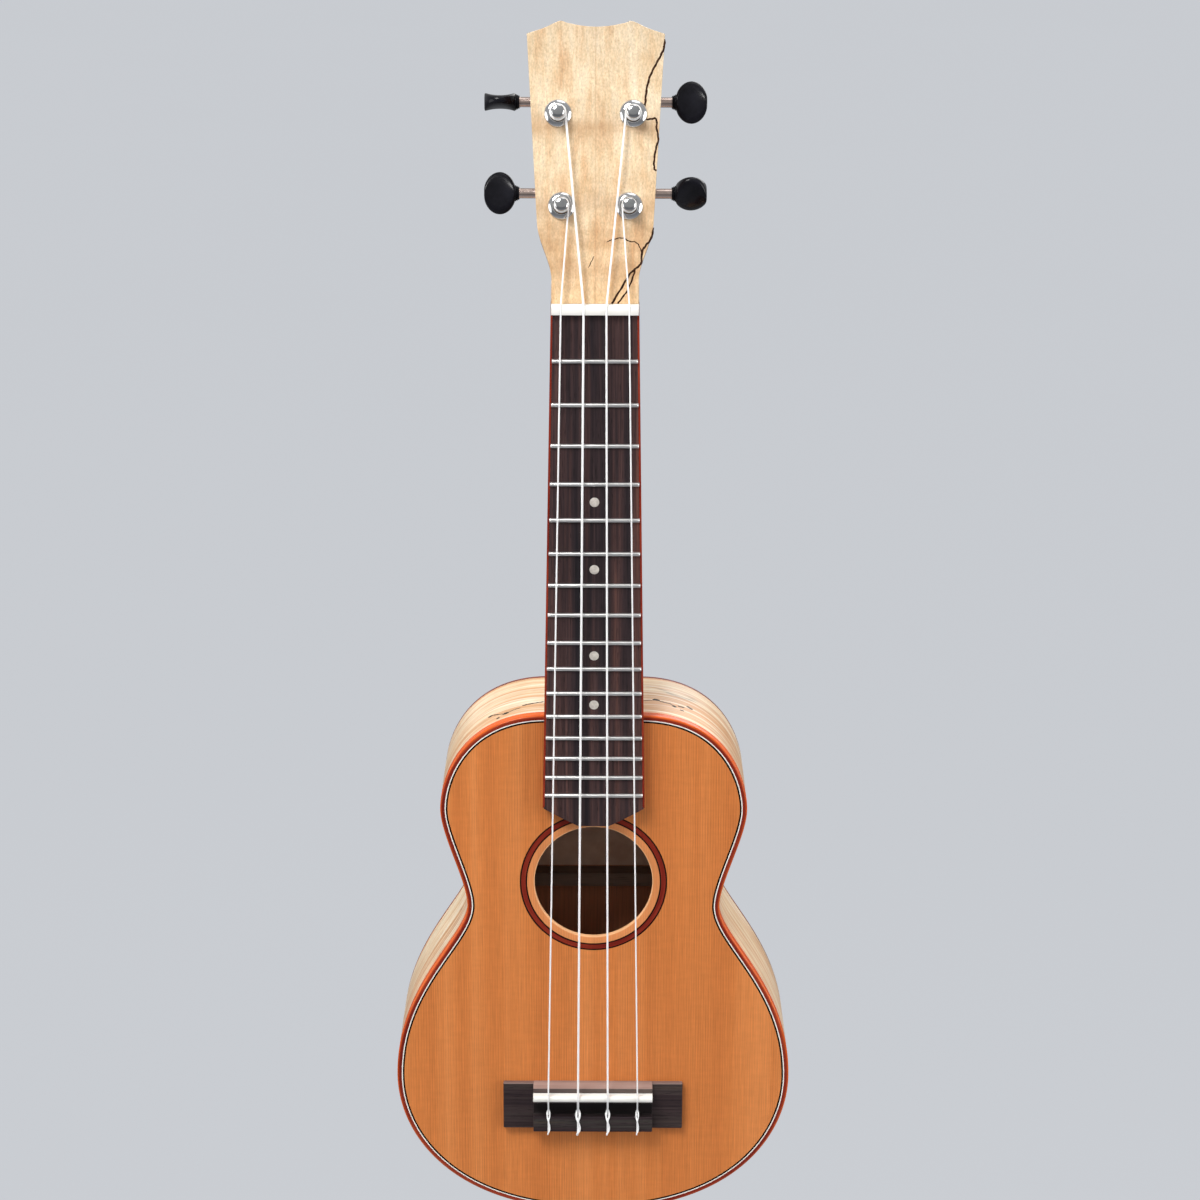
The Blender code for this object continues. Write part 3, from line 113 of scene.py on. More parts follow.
# Bridge and strings
SADDLE_STATION = 349.5
SADDLE_THICKNESS = 3.0
SADDLE_FOOT = TOP_DEPTH - 3.5
SADDLE_ENDS = ((0.0, 0.35), (0.1, 0.12), (0.35, 0.0))
RIDGE_HEIGHT = 7.0
BLOCK_HEIGHT = 6.9
WING_HEIGHT = 2.8
CHANNEL_HEIGHT = 3.2
SADDLE_HEIGHT = 10.5
SADDLE_CREST = 1.1
BRIDGE_FRONT = SADDLE_STATION - 4.4
RIDGE_END = BRIDGE_FRONT + 8.0
CHANNEL_END = RIDGE_END + 6.4
BRIDGE_END = BRIDGE_FRONT + 21.8
BRIDGE_HALF = 39.5
CENTRE_HALF = 26.2
TIE_HOLE_HEIGHT = BLOCK_HEIGHT - 2.3
STRINGS = {"g": 0.70, "c": 0.95, "e": 0.85, "a": 0.65}
NUT_SPACING = 9.3
SADDLE_SPACING = 13.05
STRING_LAY = 0.3
STRING_DROP = 0.55  # behind the saddle's crest
STRING_TURNS = 2
TURN_STEPS = 48
TUBE_SIDES = 12
FILLET_STEPS = 5
STRING_LEAST_GAP = 0.45

# Neck and headstock
NECK_DEPTHS = (12.0, 14.5)
HEEL_LENGTH = 30.0
HEEL_FOOT_HALF = 11.0
HEEL_FOOT_CLEARANCE = 3.0
HEEL_FLARE = 2.6
HEEL_FULLNESS = 0.65
HEAD_TILT = math.radians(15.0)
HEAD_THICKNESS = 12.5
HEADPLATE_THICKNESS = 1.5
THROAT = (17.8, 9.4)
SHOULDER = (23.8, 33.5)
CORNER = (28.1, 109.3)
PEAK = (14.7, 114.4)
DIP = 112.1
THROAT_SECTIONS = (
    (1.25, 1.25, -0.3, -0.4, 0.05),
    (0.80, 1.02, 0.1, 0.1, 0.06),
    (0.53, 0.80, 0.1, 1.0, 0.30),
    (0.27, 0.55, 0.1, 2.0, 0.65),
)

# Tuners: side, half, length above the nut and the button's turn at rest
TUNERS = {
    "top_left": (-1, 15.3, 77.0, 90),
    "top_right": (1, 15.3, 77.0, 0),
    "bottom_left": (-1, 13.7, 39.6, 0),
    "bottom_right": (1, 13.7, 39.6, 48),
}
STRING_TUNERS = ("bottom_left", "top_left", "top_right", "bottom_right")
PLATE_FRONT = 12.8
PLATE_BACK = 14.0
GEAR_TEETH = 14
GEAR_MODULE = 0.62
GEAR_RADIUS = GEAR_MODULE * GEAR_TEETH / 2
WHEEL_HALF = 1.3
TOOTH_HALF = 0.165  # of the pitch
TOOTH_FLANK = 0.21  # of the half tooth
TOOTH_TIP = 0.72 * GEAR_MODULE
TOOTH_ROOT = 1.35 * GEAR_MODULE
WORM_RADIUS = 2.36
WORM_OFFSET = GEAR_RADIUS + WORM_RADIUS
WORM_TIP = WORM_RADIUS + TOOTH_TIP
WORM_ROOT = WORM_RADIUS - TOOTH_ROOT
WORM_DEPTH = PLATE_BACK + 0.3 + WORM_TIP
WORM_LEAD = math.pi * GEAR_MODULE
WORM_TURNS = 2.6
WORM_HALF = 3.9
THREAD_STEPS = 30
EAR_INSIDE = 4.2
EAR_END = 5.4
EAR_HALF = 3.2
KNOB_REACH = 33.0
BUTTON_LENGTH = 12.8
BUTTON_HALF = 8.7
BUTTON_WAIST = 2.5
BUTTON_SWELL = 1.3
SCREW_RADIUS = 1.75
CAP_RADIUS = 2.8
GROOVE_RADIUS = 2.2
FLANGE_RADIUS = 5.7
FLANGE_HEIGHT = 1.7
GROOVE_BACK = -FLANGE_HEIGHT - 0.1
GROOVE_LENGTH = STRING_TURNS * (0.95 + STRING_LEAST_GAP) + 0.95 + 0.6 + 0.8

# Floor, light and camera, in metres
FLOOR_HALF = 40.0
FLOOR_LEVEL = -1.6
BACKGROUND = (0.65, 0.673, 0.712)
HORIZON = (0.57, 0.592, 0.626)
LAMP_AIM = Vector((0, 0, -0.2))
LAMPS = (
    ("key", (-0.65, -0.9, 1.25), 0.75, 30.5, (1.0, 0.985, 0.965)),
    ("left", (-1.9, -0.6, -0.1), 1.5, 12.0, (1.0, 0.99, 0.98)),
    ("right", (1.9, -0.7, 0.0), 1.5, 25.0, (1.0, 0.985, 0.97)),
    ("crown", (0.4, 0.1, 1.9), 1.2, 6.0, (1.0, 1.0, 1.0)),
    ("rear", (0.9, 1.9, 0.9), 1.4, 15.0, (1.0, 1.0, 1.0)),
)
CAMERA_PLACE = (0.00242, -1.2262, 0.2298)
CAMERA_DIP = math.radians(17)
CAMERA_ROLL = 0.0033
CAMERA_LENS = 91.0

ACROSS = Vector((1, 0, 0))
HEAD_UP = Vector((0, math.sin(HEAD_TILT), math.cos(HEAD_TILT)))
HEAD_IN = Vector((0, math.cos(HEAD_TILT), -math.sin(HEAD_TILT)))
INWARD = Vector((0, 1, 0))


def spot(x, station, depth):
    return Vector((x, depth - ORIGIN_DEPTH, -station + ORIGIN_STATION)) * MM


HEAD_PIVOT = spot(0, -4.2, 1.8)


def head_spot(x, length, depth):
    return HEAD_PIVOT + (ACROSS * x + HEAD_UP * length + HEAD_IN * depth) * MM


# Shader helpers


class Look:
    """A material and short calls that add nodes to it."""

    def __init__(self, name, roughness=0.5, metallic=0.0, coat=0.0, coat_roughness=0.1, gloss=0.3):
        self.material = bpy.data.materials.new(name)
        self.material.use_nodes = True
        self.tree = self.material.node_tree
        self.shader = self.tree.nodes["Principled BSDF"]
        self.set({"Roughness": roughness, "Metallic": metallic, "Coat Weight": coat,
                  "Coat Roughness": coat_roughness, "Specular IOR Level": gloss})

    def put(self, socket, value):
        if isinstance(value, bpy.types.NodeSocket):
            self.tree.links.new(value, socket)
        else:
            socket.default_value = value

    def set(self, values):
        for name, value in values.items():
            self.put(self.shader.inputs[name], value)

    def add(self, kind, inputs, **settings):
        node = self.tree.nodes.new("ShaderNode" + kind)
        for name, value in settings.items():
            setattr(node, name, value)
        for name, value in inputs.items():
            self.put(node.inputs[name], value)
        return node

    def maths(self, operation, *values):
        return self.add("Math", dict(enumerate(values)), operation=operation).outputs[0]

    def vector(self, operation, *values):
        return self.add("VectorMath", dict(enumerate(values)), operation=operation).outputs

    def times(self, first, second):
        return self.maths("MULTIPLY", first, second)

    def split(self, vector):
        return self.add("SeparateXYZ", {0: vector}).outputs

    def joined(self, *parts):
        return self.add("CombineXYZ", dict(enumerate(parts))).outputs[0]

    def grain(self, along="z"):
        """Object coordinates with the grain's own direction last, or those stored in the mesh."""
        if along == "path":
            return self.add("Attribute", {}, attribute_name="grain").outputs["Vector"]
        place = self.add("TexCoord", {}).outputs["Object"]
        return place if along == "z" else self.joined(*reversed(self.split(place)[:]))

    def waved(self, along, amount, scales):
        """The grain's coordinates pushed sideways by slow noise, in metres."""
        place = self.grain(along)
        push = self.between(self.noise(place, scales, 1.0), -amount, amount)
        return self.vector("ADD", place, self.joined(push, push))[0]

    def noise(self, vector, scales, detail=3.0, roughness=0.55, offset=(0, 0, 0)):
        """Noise from 0 to 1; scales are cycles per metre along each axis."""
        place = self.vector("MULTIPLY_ADD", vector, scales, offset)[0]
        inputs = {"Vector": place, "Scale": 1.0, "Detail": detail, "Roughness": roughness}
        return self.add("TexNoise", inputs).outputs[0]

    def ramp(self, value, *stops):
        """A colour ramp; each stop is a place and a colour or a grey level."""
        node = self.add("ValToRGB", {0: value})
        elements = node.color_ramp.elements
        while len(elements) < len(stops):
            elements.new(0.5)
        for element, (place, colour) in zip(elements, stops):
            element.position = place
            element.color = (*(colour if isinstance(colour, tuple) else (colour,) * 3), 1)
        return node.outputs[0]

    def mix(self, share, first, second, kind="MIX"):
        node = self.add("Mix", {0: share}, data_type="RGBA", blend_type=kind)
        for socket, value in ((node.inputs[6], first), (node.inputs[7], second)):
            self.put(socket, (*value, 1) if isinstance(value, tuple) else value)
        return node.outputs[2]

    def shade(self, colour, value, *stops, share=1.0):
        """The colour multiplied by a ramp of the value."""
        return self.mix(share, colour, self.ramp(value, *stops), "MULTIPLY")

    def between(self, value, low, high):
        """A value from 0 to 1 turned into one from low to high."""
        return self.add("MapRange", {"Value": value, "To Min": low, "To Max": high}).outputs[0]

    def finish(self, colour, value, roughness, height, distance, strength):
        """Sets the colour, a roughness that follows the value, and the bump."""
        bump = {"Height": height, "Distance": distance * MM, "Strength": strength}
        self.set({"Base Color": colour, "Roughness": self.between(value, *roughness),
                  "Normal": self.add("Bump", bump).outputs[0]})
        return self.material


def cedar():
    """Fine straight growth lines with slow bands, a slightly paler band inside the rosette and a
    much paler wall round the soundhole, partly painted light.
    """
    look = Look("cedar_top", 0.46, coat=0.1, coat_roughness=0.3)
    place = look.grain()
    vector = look.waved("z", 0.0012, (9, 9, 2.5))
    bands = look.noise(vector, (75, 0, 1.2), 3.0, 0.6)
    colour = look.ramp(bands, (0.28, (0.57, 0.17, 0.040)), (0.5, (0.665, 0.212, 0.052)),
                       (0.72, (0.75, 0.265, 0.076)))
    drift = look.between(look.noise(vector, (60, 0, 1), 1.0), 0, 14)
    inputs = {"Vector": look.joined(look.split(vector)[0]), "Scale": 285.0, "Phase Offset": drift}
    rings = look.add("TexWave", inputs, wave_profile="SAW").outputs["Fac"]
    lines = look.ramp(rings, (0.0, 1.0), (0.55, 0.97), (0.9, 0.80), (1.0, 0.86))
    strength = look.ramp(look.noise(vector, (38, 0, 3), 2.0), (0.4, 0.45), (0.62, 1.0))
    colour = look.mix(strength, colour, lines, "MULTIPLY")
    fibre = look.noise(vector, (1900, 0, 55), 2.0, 0.7)
    colour = look.shade(colour, fibre, (0.25, 0.84), (0.75, 1.12))
    silk = look.noise(place, (110, 0, 420), 2.0)
    colour = look.shade(colour, silk, (0.35, 0.97), (0.7, 1.03))
    flat = look.vector("MULTIPLY", place, (1, 0, 1))[0]
    centre = (0, 0, (ORIGIN_STATION - SOUNDHOLE_STATION) * MM)
    away = look.vector("DISTANCE", flat, centre)["Value"]
    share = look.maths("DIVIDE", away, 2 * ROSETTE_INNER * MM)
    edge = SOUNDHOLE_RADIUS / (2 * ROSETTE_INNER)
    # Paler wood by the soundhole: a slightly paler band inside the rosette, and a much paler wall
    # round the hole, partly the paler cut edge and partly painted light standing for the light from
    # above on it.
    inner = look.ramp(share, (0.498, 1.0), (0.502, 0.0))
    near = look.ramp(share, (edge + 0.004, 1.0), (edge + 0.008, 0.0))
    colour = look.mix(look.times(inner, 0.22), colour, (0.95, 0.46, 0.22))
    colour = look.mix(look.times(near, 0.75), colour, (0.95, 0.56, 0.29))
    height = look.maths("ADD", look.times(rings, 0.5), fibre)
    return look.finish(colour, fibre, (0.4, 0.54), height, 0.03, 0.35)


def maple(name, along, zones, tones, offset=(0, 0, 0), spread=(0.3, 0.5, 0.7), inner=None):
    """Pale maple: cream and tan streaks, fine pores and, where asked, dark fungus lines.

    inner is the depth of an inside face, in metres, and its tone.
    """
    look = Look(name, 0.32, coat=0.2, coat_roughness=0.15)
    vector = look.waved(along, 0.0022, (30, 30, 7))
    broad = look.noise(vector, (180, 120, 3.2), 4.0, 0.62, offset)
    colour = look.ramp(broad, *zip(spread, tones))
    fine = look.noise(vector, (1300, 900, 30), 3.0, 0.7)
    colour = look.shade(colour, fine, (0.25, 0.80), (0.7, 1.1), share=0.9)
    cloud = look.noise(look.grain(along), (55, 60, 48), 4.0, 0.6, offset)
    colour = look.shade(colour, cloud, (0.3, (0.84, 0.77, 0.68)), (0.6, 1.0))
    pores = look.noise(vector, (3300, 2500, 260), 1.0)
    colour = look.mix(look.ramp(pores, (0.62, 0.0), (0.76, 0.55)), colour, (0.5, 0.26, 0.12))
    if zones:
        field = look.noise(vector, (15, 15, 6.5), 2.5, 0.5, (1.1, 5.3, 2.7))
        edge = look.maths("ABSOLUTE", look.maths("SUBTRACT", field, 0.5))
        where = look.noise(vector, (35, 30, 9), 1.0, offset=(9.1, 0, 3.2))
        thin = look.ramp(edge, (0.0, 1.0), (0.002, 1.0), (0.005, 0.0))
        line = look.times(thin, look.ramp(where, (0.46, 0.0), (0.56, zones)))
        colour = look.mix(line, colour, (0.07, 0.028, 0.014))
    if along == "path":
        for scales, shift, full, tone in (
            ((300, 200, 11), (2.4, 0, 1.3), 0.62, (0.70, 0.33, 0.13)),
            ((420, 200, 14), (6.4, 0, 3.3), 0.64, (0.97, 0.87, 0.69)),
        ):
            streak = look.noise(vector, scales, 3.0, 0.6, shift)
            colour = look.mix(look.ramp(streak, (0.52, 0.0), (full, 0.8)), colour, tone)
    if inner:
        face, tone = inner
        inside = look.maths("LESS_THAN", look.split(look.grain())[1], face)
        shaded = look.mix(1.0, look.ramp(fine, (0.2, 0.7), (0.8, 1.2)), tone, "MULTIPLY")
        colour = look.mix(inside, colour, shaded)
    if not zones:
        colour = matched(look, colour)
    return look.finish(colour, fine, (0.26, 0.38), fine, 0.015, 0.3)


def matched(look, colour):
    """Speckle, two browner bands that mirror each other about the headplate's centre line, and a
    tone along the head: warmer and darker at the foot, and darker at the top as painted shade.
    """
    place = look.grain()
    speck = look.noise(place, (1500, 1500, 900), 2.0, 0.6)
    colour = look.shade(colour, speck, (0.32, 0.84), (0.66, 1.08))
    x, y, z = look.split(place)
    away = look.maths("ABSOLUTE", x)
    figure = look.noise(look.joined(away, y, z), (38, 0, 105), offset=(1.7, 0, 2.9))
    height = look.maths("MULTIPLY_ADD", z, 8.0, 0.16)
    bands = look.ramp(height, (0.06, 0.35), (0.2, 0.95), (0.36, 0.6), (0.46, 0.05), (0.53, 0.1),
                      (0.58, 0.9), (0.64, 0.05), (1.0, 0.15))
    brown = look.times(look.ramp(figure, (0.36, 0.0), (0.62, 0.6)), bands)
    colour = look.mix(brown, colour, (0.42, 0.22, 0.10))
    # Painted shade at the top of the head, darkening it where the lamps light it most; towards the
    # foot the tone turns warmer and darker.
    colour = look.shade(colour, height, (0.1, (0.96, 0.88, 0.79)), (0.45, 1.0), (0.7, 0.94),
                        (1.0, 0.79))
    centre = look.ramp(look.times(away, 1000.0), (0.1, 0.3), (0.4, 0.0))
    return look.mix(centre, colour, (0.40, 0.22, 0.11))


def rosewood(name, along, offset=(0, 0, 0), warmth=1.0, paler=(), darker=()):
    """Nearly black wood with brown and red streaks and open pores.

    paler and darker are stops along the bridge, from its front to its end: paler gives the front
    faces a pale tone, partly painted light from above, and darker is painted shade in the channel
    behind the saddle.
    """
    look = Look(name, 0.42, gloss=0.16)
    vector = look.waved(along, 0.0012, (40, 40, 8))
    streaks = look.noise(vector, (230, 120, 4.6), 4.0, 0.62, offset)
    colour = look.ramp(streaks, (0.3, (0.015, 0.012, 0.015)), (0.46, (0.036, 0.023, 0.025)),
                       (0.58, (0.072 * warmth, 0.038, 0.036)),
                       (0.74, (0.15 * warmth, 0.064, 0.048)))
    fibre = look.noise(vector, (1500, 900, 26), 3.0, 0.7)
    colour = look.shade(colour, fibre, (0.25, 0.6), (0.75, 1.4))
    pores = look.noise(vector, (3600, 2500, 190), 1.0)
    holes = look.ramp(pores, (0.62, 0.0), (0.72, 1.0))
    colour = look.mix(look.times(holes, 0.7), colour, (0.008, 0.006, 0.006))
    if paler:
        front = (ORIGIN_STATION - BRIDGE_FRONT) * MM
        down = look.maths("SUBTRACT", front, look.split(look.grain())[2])
        share = look.maths("DIVIDE", down, (BRIDGE_END - BRIDGE_FRONT) * MM)
        # Partly painted light: the front faces get a pale tone, for their dusty sawn wood and for
        # the strong light from above on them.
        dry_and_lit = look.ramp(streaks, (0.35, (0.15, 0.10, 0.09)), (0.5, (0.26, 0.18, 0.16)),
                        (0.65, (0.38, 0.28, 0.25)))
        colour = look.mix(look.ramp(share, *paler), colour, dry_and_lit)
    # Painted shade: near black in the channel behind the saddle, where the saddle and ridge shade
    # it.
    if darker:
        colour = look.mix(look.ramp(share, *darker), colour, (0.006, 0.005, 0.005))
    height = look.maths("SUBTRACT", look.times(fibre, 0.4), holes)
    return look.finish(colour, fibre, (0.38, 0.54), height, 0.05, 0.5)


def red_wood(name, along, orange=False):
    """Dyed trim with a hard gloss: deep red, or orange outside and deep red on its face, the orange
    side partly painted light.
    """
    look = Look(name, 0.26, coat=0.12 if orange else 0.05, coat_roughness=0.08, gloss=0.15)
    vector = look.grain(along)
    slow = look.noise(vector, (320, 320, 22), 3.0, 0.6)
    spread = (0.3, 0.5, 0.72)
    tones = ((0.15, 0.011, 0.007), (0.22, 0.022, 0.011), (0.32, 0.045, 0.02))
    colour = look.ramp(slow, *zip(spread, tones))
    # Partly painted light: the outer side is orange, lighter than the deep red face, in part for
    # the light from above that falls on it.
    if orange:
        tones = ((0.55, 0.07, 0.008), (0.72, 0.115, 0.012), (0.84, 0.17, 0.025))
        outer = look.ramp(slow, *zip(spread, tones))
        inset = look.times(look.split(vector)[0], 250.0)
        share = look.ramp(inset, (0.02, 0.0), (0.12, 0.45), (0.26, 1.0))
        colour = look.mix(share, outer, colour)
    fibre = look.noise(vector, (2600, 2600, 120), 2.0, 0.7)
    colour = look.shade(colour, fibre, (0.25, 0.78), (0.75, 1.15), share=0.8)
    return look.finish(colour, fibre, (0.2, 0.32), fibre, 0.012, 0.3)


def plain_wood(name, along, tones, roughness, coat=0.0):
    """Mahogany or spruce, by its three tones."""
    look = Look(name, roughness, coat=coat, coat_roughness=0.25)
    vector = look.waved(along, 0.0015, (25, 25, 5))
    slow = look.noise(vector, (160, 110, 3.5), 4.0, 0.6)
    colour = look.ramp(slow, *zip((0.3, 0.5, 0.72), tones))
    fibre = look.noise(vector, (1500, 1200, 36), 3.0, 0.7)
    colour = look.shade(colour, fibre, (0.25, 0.82), (0.75, 1.12), share=0.9)
    pores = look.ramp(look.noise(vector, (2700, 2000, 110), 1.0), (0.6, 0.0), (0.72, 1.0))
    colour = look.mix(look.times(pores, 0.5), colour, tuple(0.4 * c for c in tones[0]))
    height = look.maths("SUBTRACT", fibre, pores)
    rough = (roughness - 0.06, roughness + 0.08)
    return look.finish(colour, fibre, rough, height, 0.025, 0.4)


def smooth_stuff(name, low, high, scale, roughness, bump=0.01, **settings):
    """Bone, plastic, pearl or paper: one tone with a slight cloudiness."""
    look = Look(name, **settings)
    place = look.grain()
    cloud = look.noise(place, (scale,) * 3, 4.0, 0.6)
    colour = look.ramp(cloud, (0.35, low), (0.65, high))
    fine = look.noise(place, (scale * 9,) * 3)
    return look.finish(colour, fine, roughness, fine, bump, 0.4)


def metal(name, low, high, roughness, bump=0.2):
    """Plated metal with faint cloudiness and rubbed marks."""
    look = Look(name, metallic=1.0)
    place = look.grain()
    colour = look.ramp(look.noise(place, (260, 260, 260)), (0.3, low), (0.7, high))
    marks = look.noise(place, (2400, 2400, 288), 3.0, 0.7)
    return look.finish(colour, marks, roughness, marks, 0.003, bump)


# Mesh helpers


def arc(steps, start=0, end=360):
    """Cosine and sine at even steps, in degrees; a full turn leaves out its last point."""
    sweep = math.pi * ((end - start) / 180)
    count = steps + (end - start < 360)
    angles = [math.radians(start) + sweep * i / steps for i in range(count)]
    return [(math.cos(angle), math.sin(angle)) for angle in angles]


def skin(rings, loop=False):
    """Points and faces of a skin through rings of equal count, capped or closed to a loop."""
    count = len(rings[0])
    verts = [point for ring in rings for point in ring]
    faces = []
    for k in range(len(rings) if loop else len(rings) - 1):
        near = k * count
        far = ((k + 1) % len(rings)) * count
        for i in range(count):
            j = (i + 1) % count
            faces.append((near + i, near + j, far + j, far + i))
    if not loop:
        faces.append(tuple(range(count)))
        faces.append(tuple(range(len(verts) - count, len(verts))))
    return verts, faces


def prism(outline, low, high, place=spot):
    return skin([[place(x, y, depth) for x, y in outline] for depth in (low, high)])


def swept(section, xs, place=spot):
    """A bar across the instrument, from a section of (station, depth) points."""
    return skin([[place(x, y, z) for y, z in section] for x in xs])


def both_ends(rows):
    """Rows from the left end inwards, then outwards to the right end, with their side."""
    return [(-1, *row) for row in rows] + [(1, *row) for row in reversed(rows)]


def turned(profile, centre, axis, count=40, loop=False, out=None):
    """A profile of (radius, height) points turned round an axis through a centre."""
    out = out or axis.orthogonal().normalized()
    other = axis.cross(out)
    rings = []
    for radius, height in profile:
        rings.append([centre + ((out * c + other * s) * radius + axis * height) * MM
                      for c, s in arc(count)])
    return skin(rings, loop)


def heading(line, i):
    """The line's direction at a point, from its neighbours."""
    return (line[min(i + 1, len(line) - 1)] - line[max(i - 1, 0)]).normalized()


def tube(points, radius):
    """A round tube along points in metres; its frame turns no more than the line does."""
    rings = []
    normal = heading(points, 0).orthogonal()
    for i, point in enumerate(points):
        run = heading(points, i)
        normal = (normal - run * normal.dot(run)).normalized()
        other = run.cross(normal)
        rings.append([point + (normal * c + other * s) * radius for c, s in arc(TUBE_SIDES)])
    return skin(rings)


def filleted(points, reach):
    """The line with each corner rounded, starting at most reach from it."""
    line = [points[0]]
    for before, corner, after in zip(points, points[1:], points[2:]):
        arriving = corner - before
        leaving = after - corner
        near = min(reach, 0.45 * arriving.length, 0.45 * leaving.length)
        start = corner - arriving.normalized() * near
        end = corner + leaving.normalized() * near
        for i in range(FILLET_STEPS + 1):
            t = i / FILLET_STEPS
            line.append(start.lerp(corner, t).lerp(corner.lerp(end, t), t))
    return line + [points[-1]]


def curved(points, steps):
    """A smooth line through all its points."""
    line = []
    last = len(points) - 1
    for i in range(last):
        a, b, c, d = (points[k] for k in (max(i - 1, 0), i, i + 1, min(i + 2, last)))
        for k in range(steps):
            t = k / steps
            bend = (2 * a - 5 * b + 4 * c - d) * t * t + (3 * (b - c) + d - a) * t * t * t
            line.append(b + ((c - a) * t + bend) * 0.5)
    return line + [points[-1]]


def make(name, shape, material, slot=None, replaces=(), body="instrument", angle=35, grain=None):
    """A piece of the object from points and faces, riding on its body."""
    verts, faces = shape
    mesh = bpy.data.meshes.new(name)
    mesh.from_pydata([tuple(v) for v in verts], [], faces)
    work = bmesh.new()
    work.from_mesh(mesh)
    bmesh.ops.recalc_face_normals(work, faces=work.faces)
    work.to_mesh(mesh)
    work.free()
    mesh.shade_smooth()
    mesh.set_sharp_from_angle(angle=math.radians(angle))
    if grain:
        stored = mesh.attributes.new("grain", "FLOAT_VECTOR", "POINT")
        stored.data.foreach_set("vector", [value for place in grain for value in place])
    mesh.materials.append(material)
    obj = bpy.data.objects.new(name, mesh)
    bpy.context.scene.collection.objects.link(obj)
    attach(obj, body)
    if replaces:
        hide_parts(*replaces)
    return obj


def eased(obj, width, segments=3, angle=40):
    """Rounds the piece's sharp edges."""
    modifier = obj.modifiers.new("Eased", "BEVEL")
    modifier.width = width * MM
    modifier.segments = segments
    modifier.limit_method = "ANGLE"
    modifier.angle_limit = math.radians(angle)
    modifier.harden_normals = True


# Body


def bezier(start, first, second, end, steps):
    line = []
    for i in range(steps):
        t = i / steps
        u = 1 - t
        line.append(u**3 * start + 3 * u * u * t * first + 3 * u * t * t * second + t**3 * end)
    return line


def half_outline():
    """The body's right half, from the neck join to the tail, as (x, station) points."""
    corners = ((NECK_FLAT_HALF, 0), UPPER_BOUT, WAIST, LOWER_BOUT, (0, BODY_LENGTH))
    corners = [Vector((x, BODY_STATION + y)) for x, y in corners]
    points = [Vector((NECK_FLAT_HALF * i / FLAT_STEPS, BODY_STATION)) for i in range(FLAT_STEPS)]
    for start, end, handles, steps in zip(corners, corners[1:], CURVE_HANDLES, CURVE_STEPS):
        x, y = end - start
        leaving = Vector((x, 0) if start is corners[0] else (0, y)) * handles[0]
        arriving = Vector((x, 0) if end is corners[-1] else (0, y)) * handles[1]
        points += bezier(start, start + leaving, end - arriving, end, steps)
    return points + [corners[-1]]


HALF_OUTLINE = half_outline()
OUTLINE_RUN = [0.0]
for before, after in zip(HALF_OUTLINE, HALF_OUTLINE[1:]):
    OUTLINE_RUN.append(OUTLINE_RUN[-1] + (after - before).length)


def inset_half(inset):
    """The right half outline moved inwards, square to itself."""
    points = HALF_OUTLINE
    moved = []
    for i, point in enumerate(points):
        before = points[i - 1] if i else Vector((-points[1].x, points[1].y))
        after = points[i + 1] if i < len(points) - 1 else Vector((-points[-2].x, points[-2].y))
        run = (after - before).normalized()
        moved.append((point.x - run.y * inset, point.y + run.x * inset))
    moved[0] = (0.0, BODY_STATION + inset)
    moved[-1] = (0.0, TAIL_STATION - inset)
    return moved


def full_outline(inset):
    right = inset_half(inset)
    return right + [(-x, y) for x, y in reversed(right[1:-1])]


def rim(name, profile, material, **options):
    """A strip round the whole outline, from a closed profile of (inset, depth) points."""
    outlines = [full_outline(inset) for inset, _ in profile]
    runs = OUTLINE_RUN + [2 * OUTLINE_RUN[-1] - r for r in reversed(OUTLINE_RUN[1:-1])]
    rings = []
    grain = []
    for i, run in enumerate(runs):
        rings.append([spot(*line[i], depth) for line, (_, depth) in zip(outlines, profile)])
        grain += [(inset * MM, depth * MM, run * MM) for inset, depth in profile]
    make(name, skin(rings, loop=True), material, grain=grain, **options)


def binding_profile(face, way, deep):
    """The binding's section: its outer edge on the face is rounded."""
    points = [(BINDING_WIDTH - CLEAR, face)]
    points += [(BINDING_ROUND * (1 - s), face + way * BINDING_ROUND * (1 - c))
               for c, s in arc(6, 0, 90)]
    low = face + way * deep
    return points + [(0.0, low), (BINDING_WIDTH - CLEAR, low)]


def line_profile(outer, inner):
    low = TOP_DEPTH + LINE_DEPTH
    return [(outer, TOP_DEPTH), (inner, TOP_DEPTH), (inner, low), (outer, low)]


def make_soundboard(material):
    """The top with its soundhole, the rosette's channel and a rebate for the edge lines."""
    outline = full_outline(BLACK_LINE_END)
    low = full_outline(BINDING_WIDTH)
    centre = Vector((0, SOUNDHOLE_STATION))
    rays = [(Vector(point) - centre).normalized() for point in outline]
    under = TOP_DEPTH + PLATE_THICKNESS
    shelf = TOP_DEPTH + LINE_DEPTH
    channel = TOP_DEPTH + ROSETTE_DEPTH
    circles = (
        (SOUNDHOLE_RADIUS, under), (SOUNDHOLE_RADIUS, TOP_DEPTH + 0.25),
        (SOUNDHOLE_RADIUS + 0.08, TOP_DEPTH + 0.08), (SOUNDHOLE_RADIUS + 0.25, TOP_DEPTH),
        (ROSETTE_INNER, TOP_DEPTH), (ROSETTE_INNER, channel), (ROSETTE_OUTER, channel),
        (ROSETTE_OUTER, TOP_DEPTH),
    )
    rings = [[spot(*(centre + ray * radius), z) for ray in rays] for radius, z in circles]
    for line, z in ((outline, TOP_DEPTH), (outline, shelf), (low, shelf), (low, under)):
        rings.append([spot(x, y, z) for x, y in line])
    make("top_panel", skin(rings, loop=True), material, "cedar", ("soundboard",))


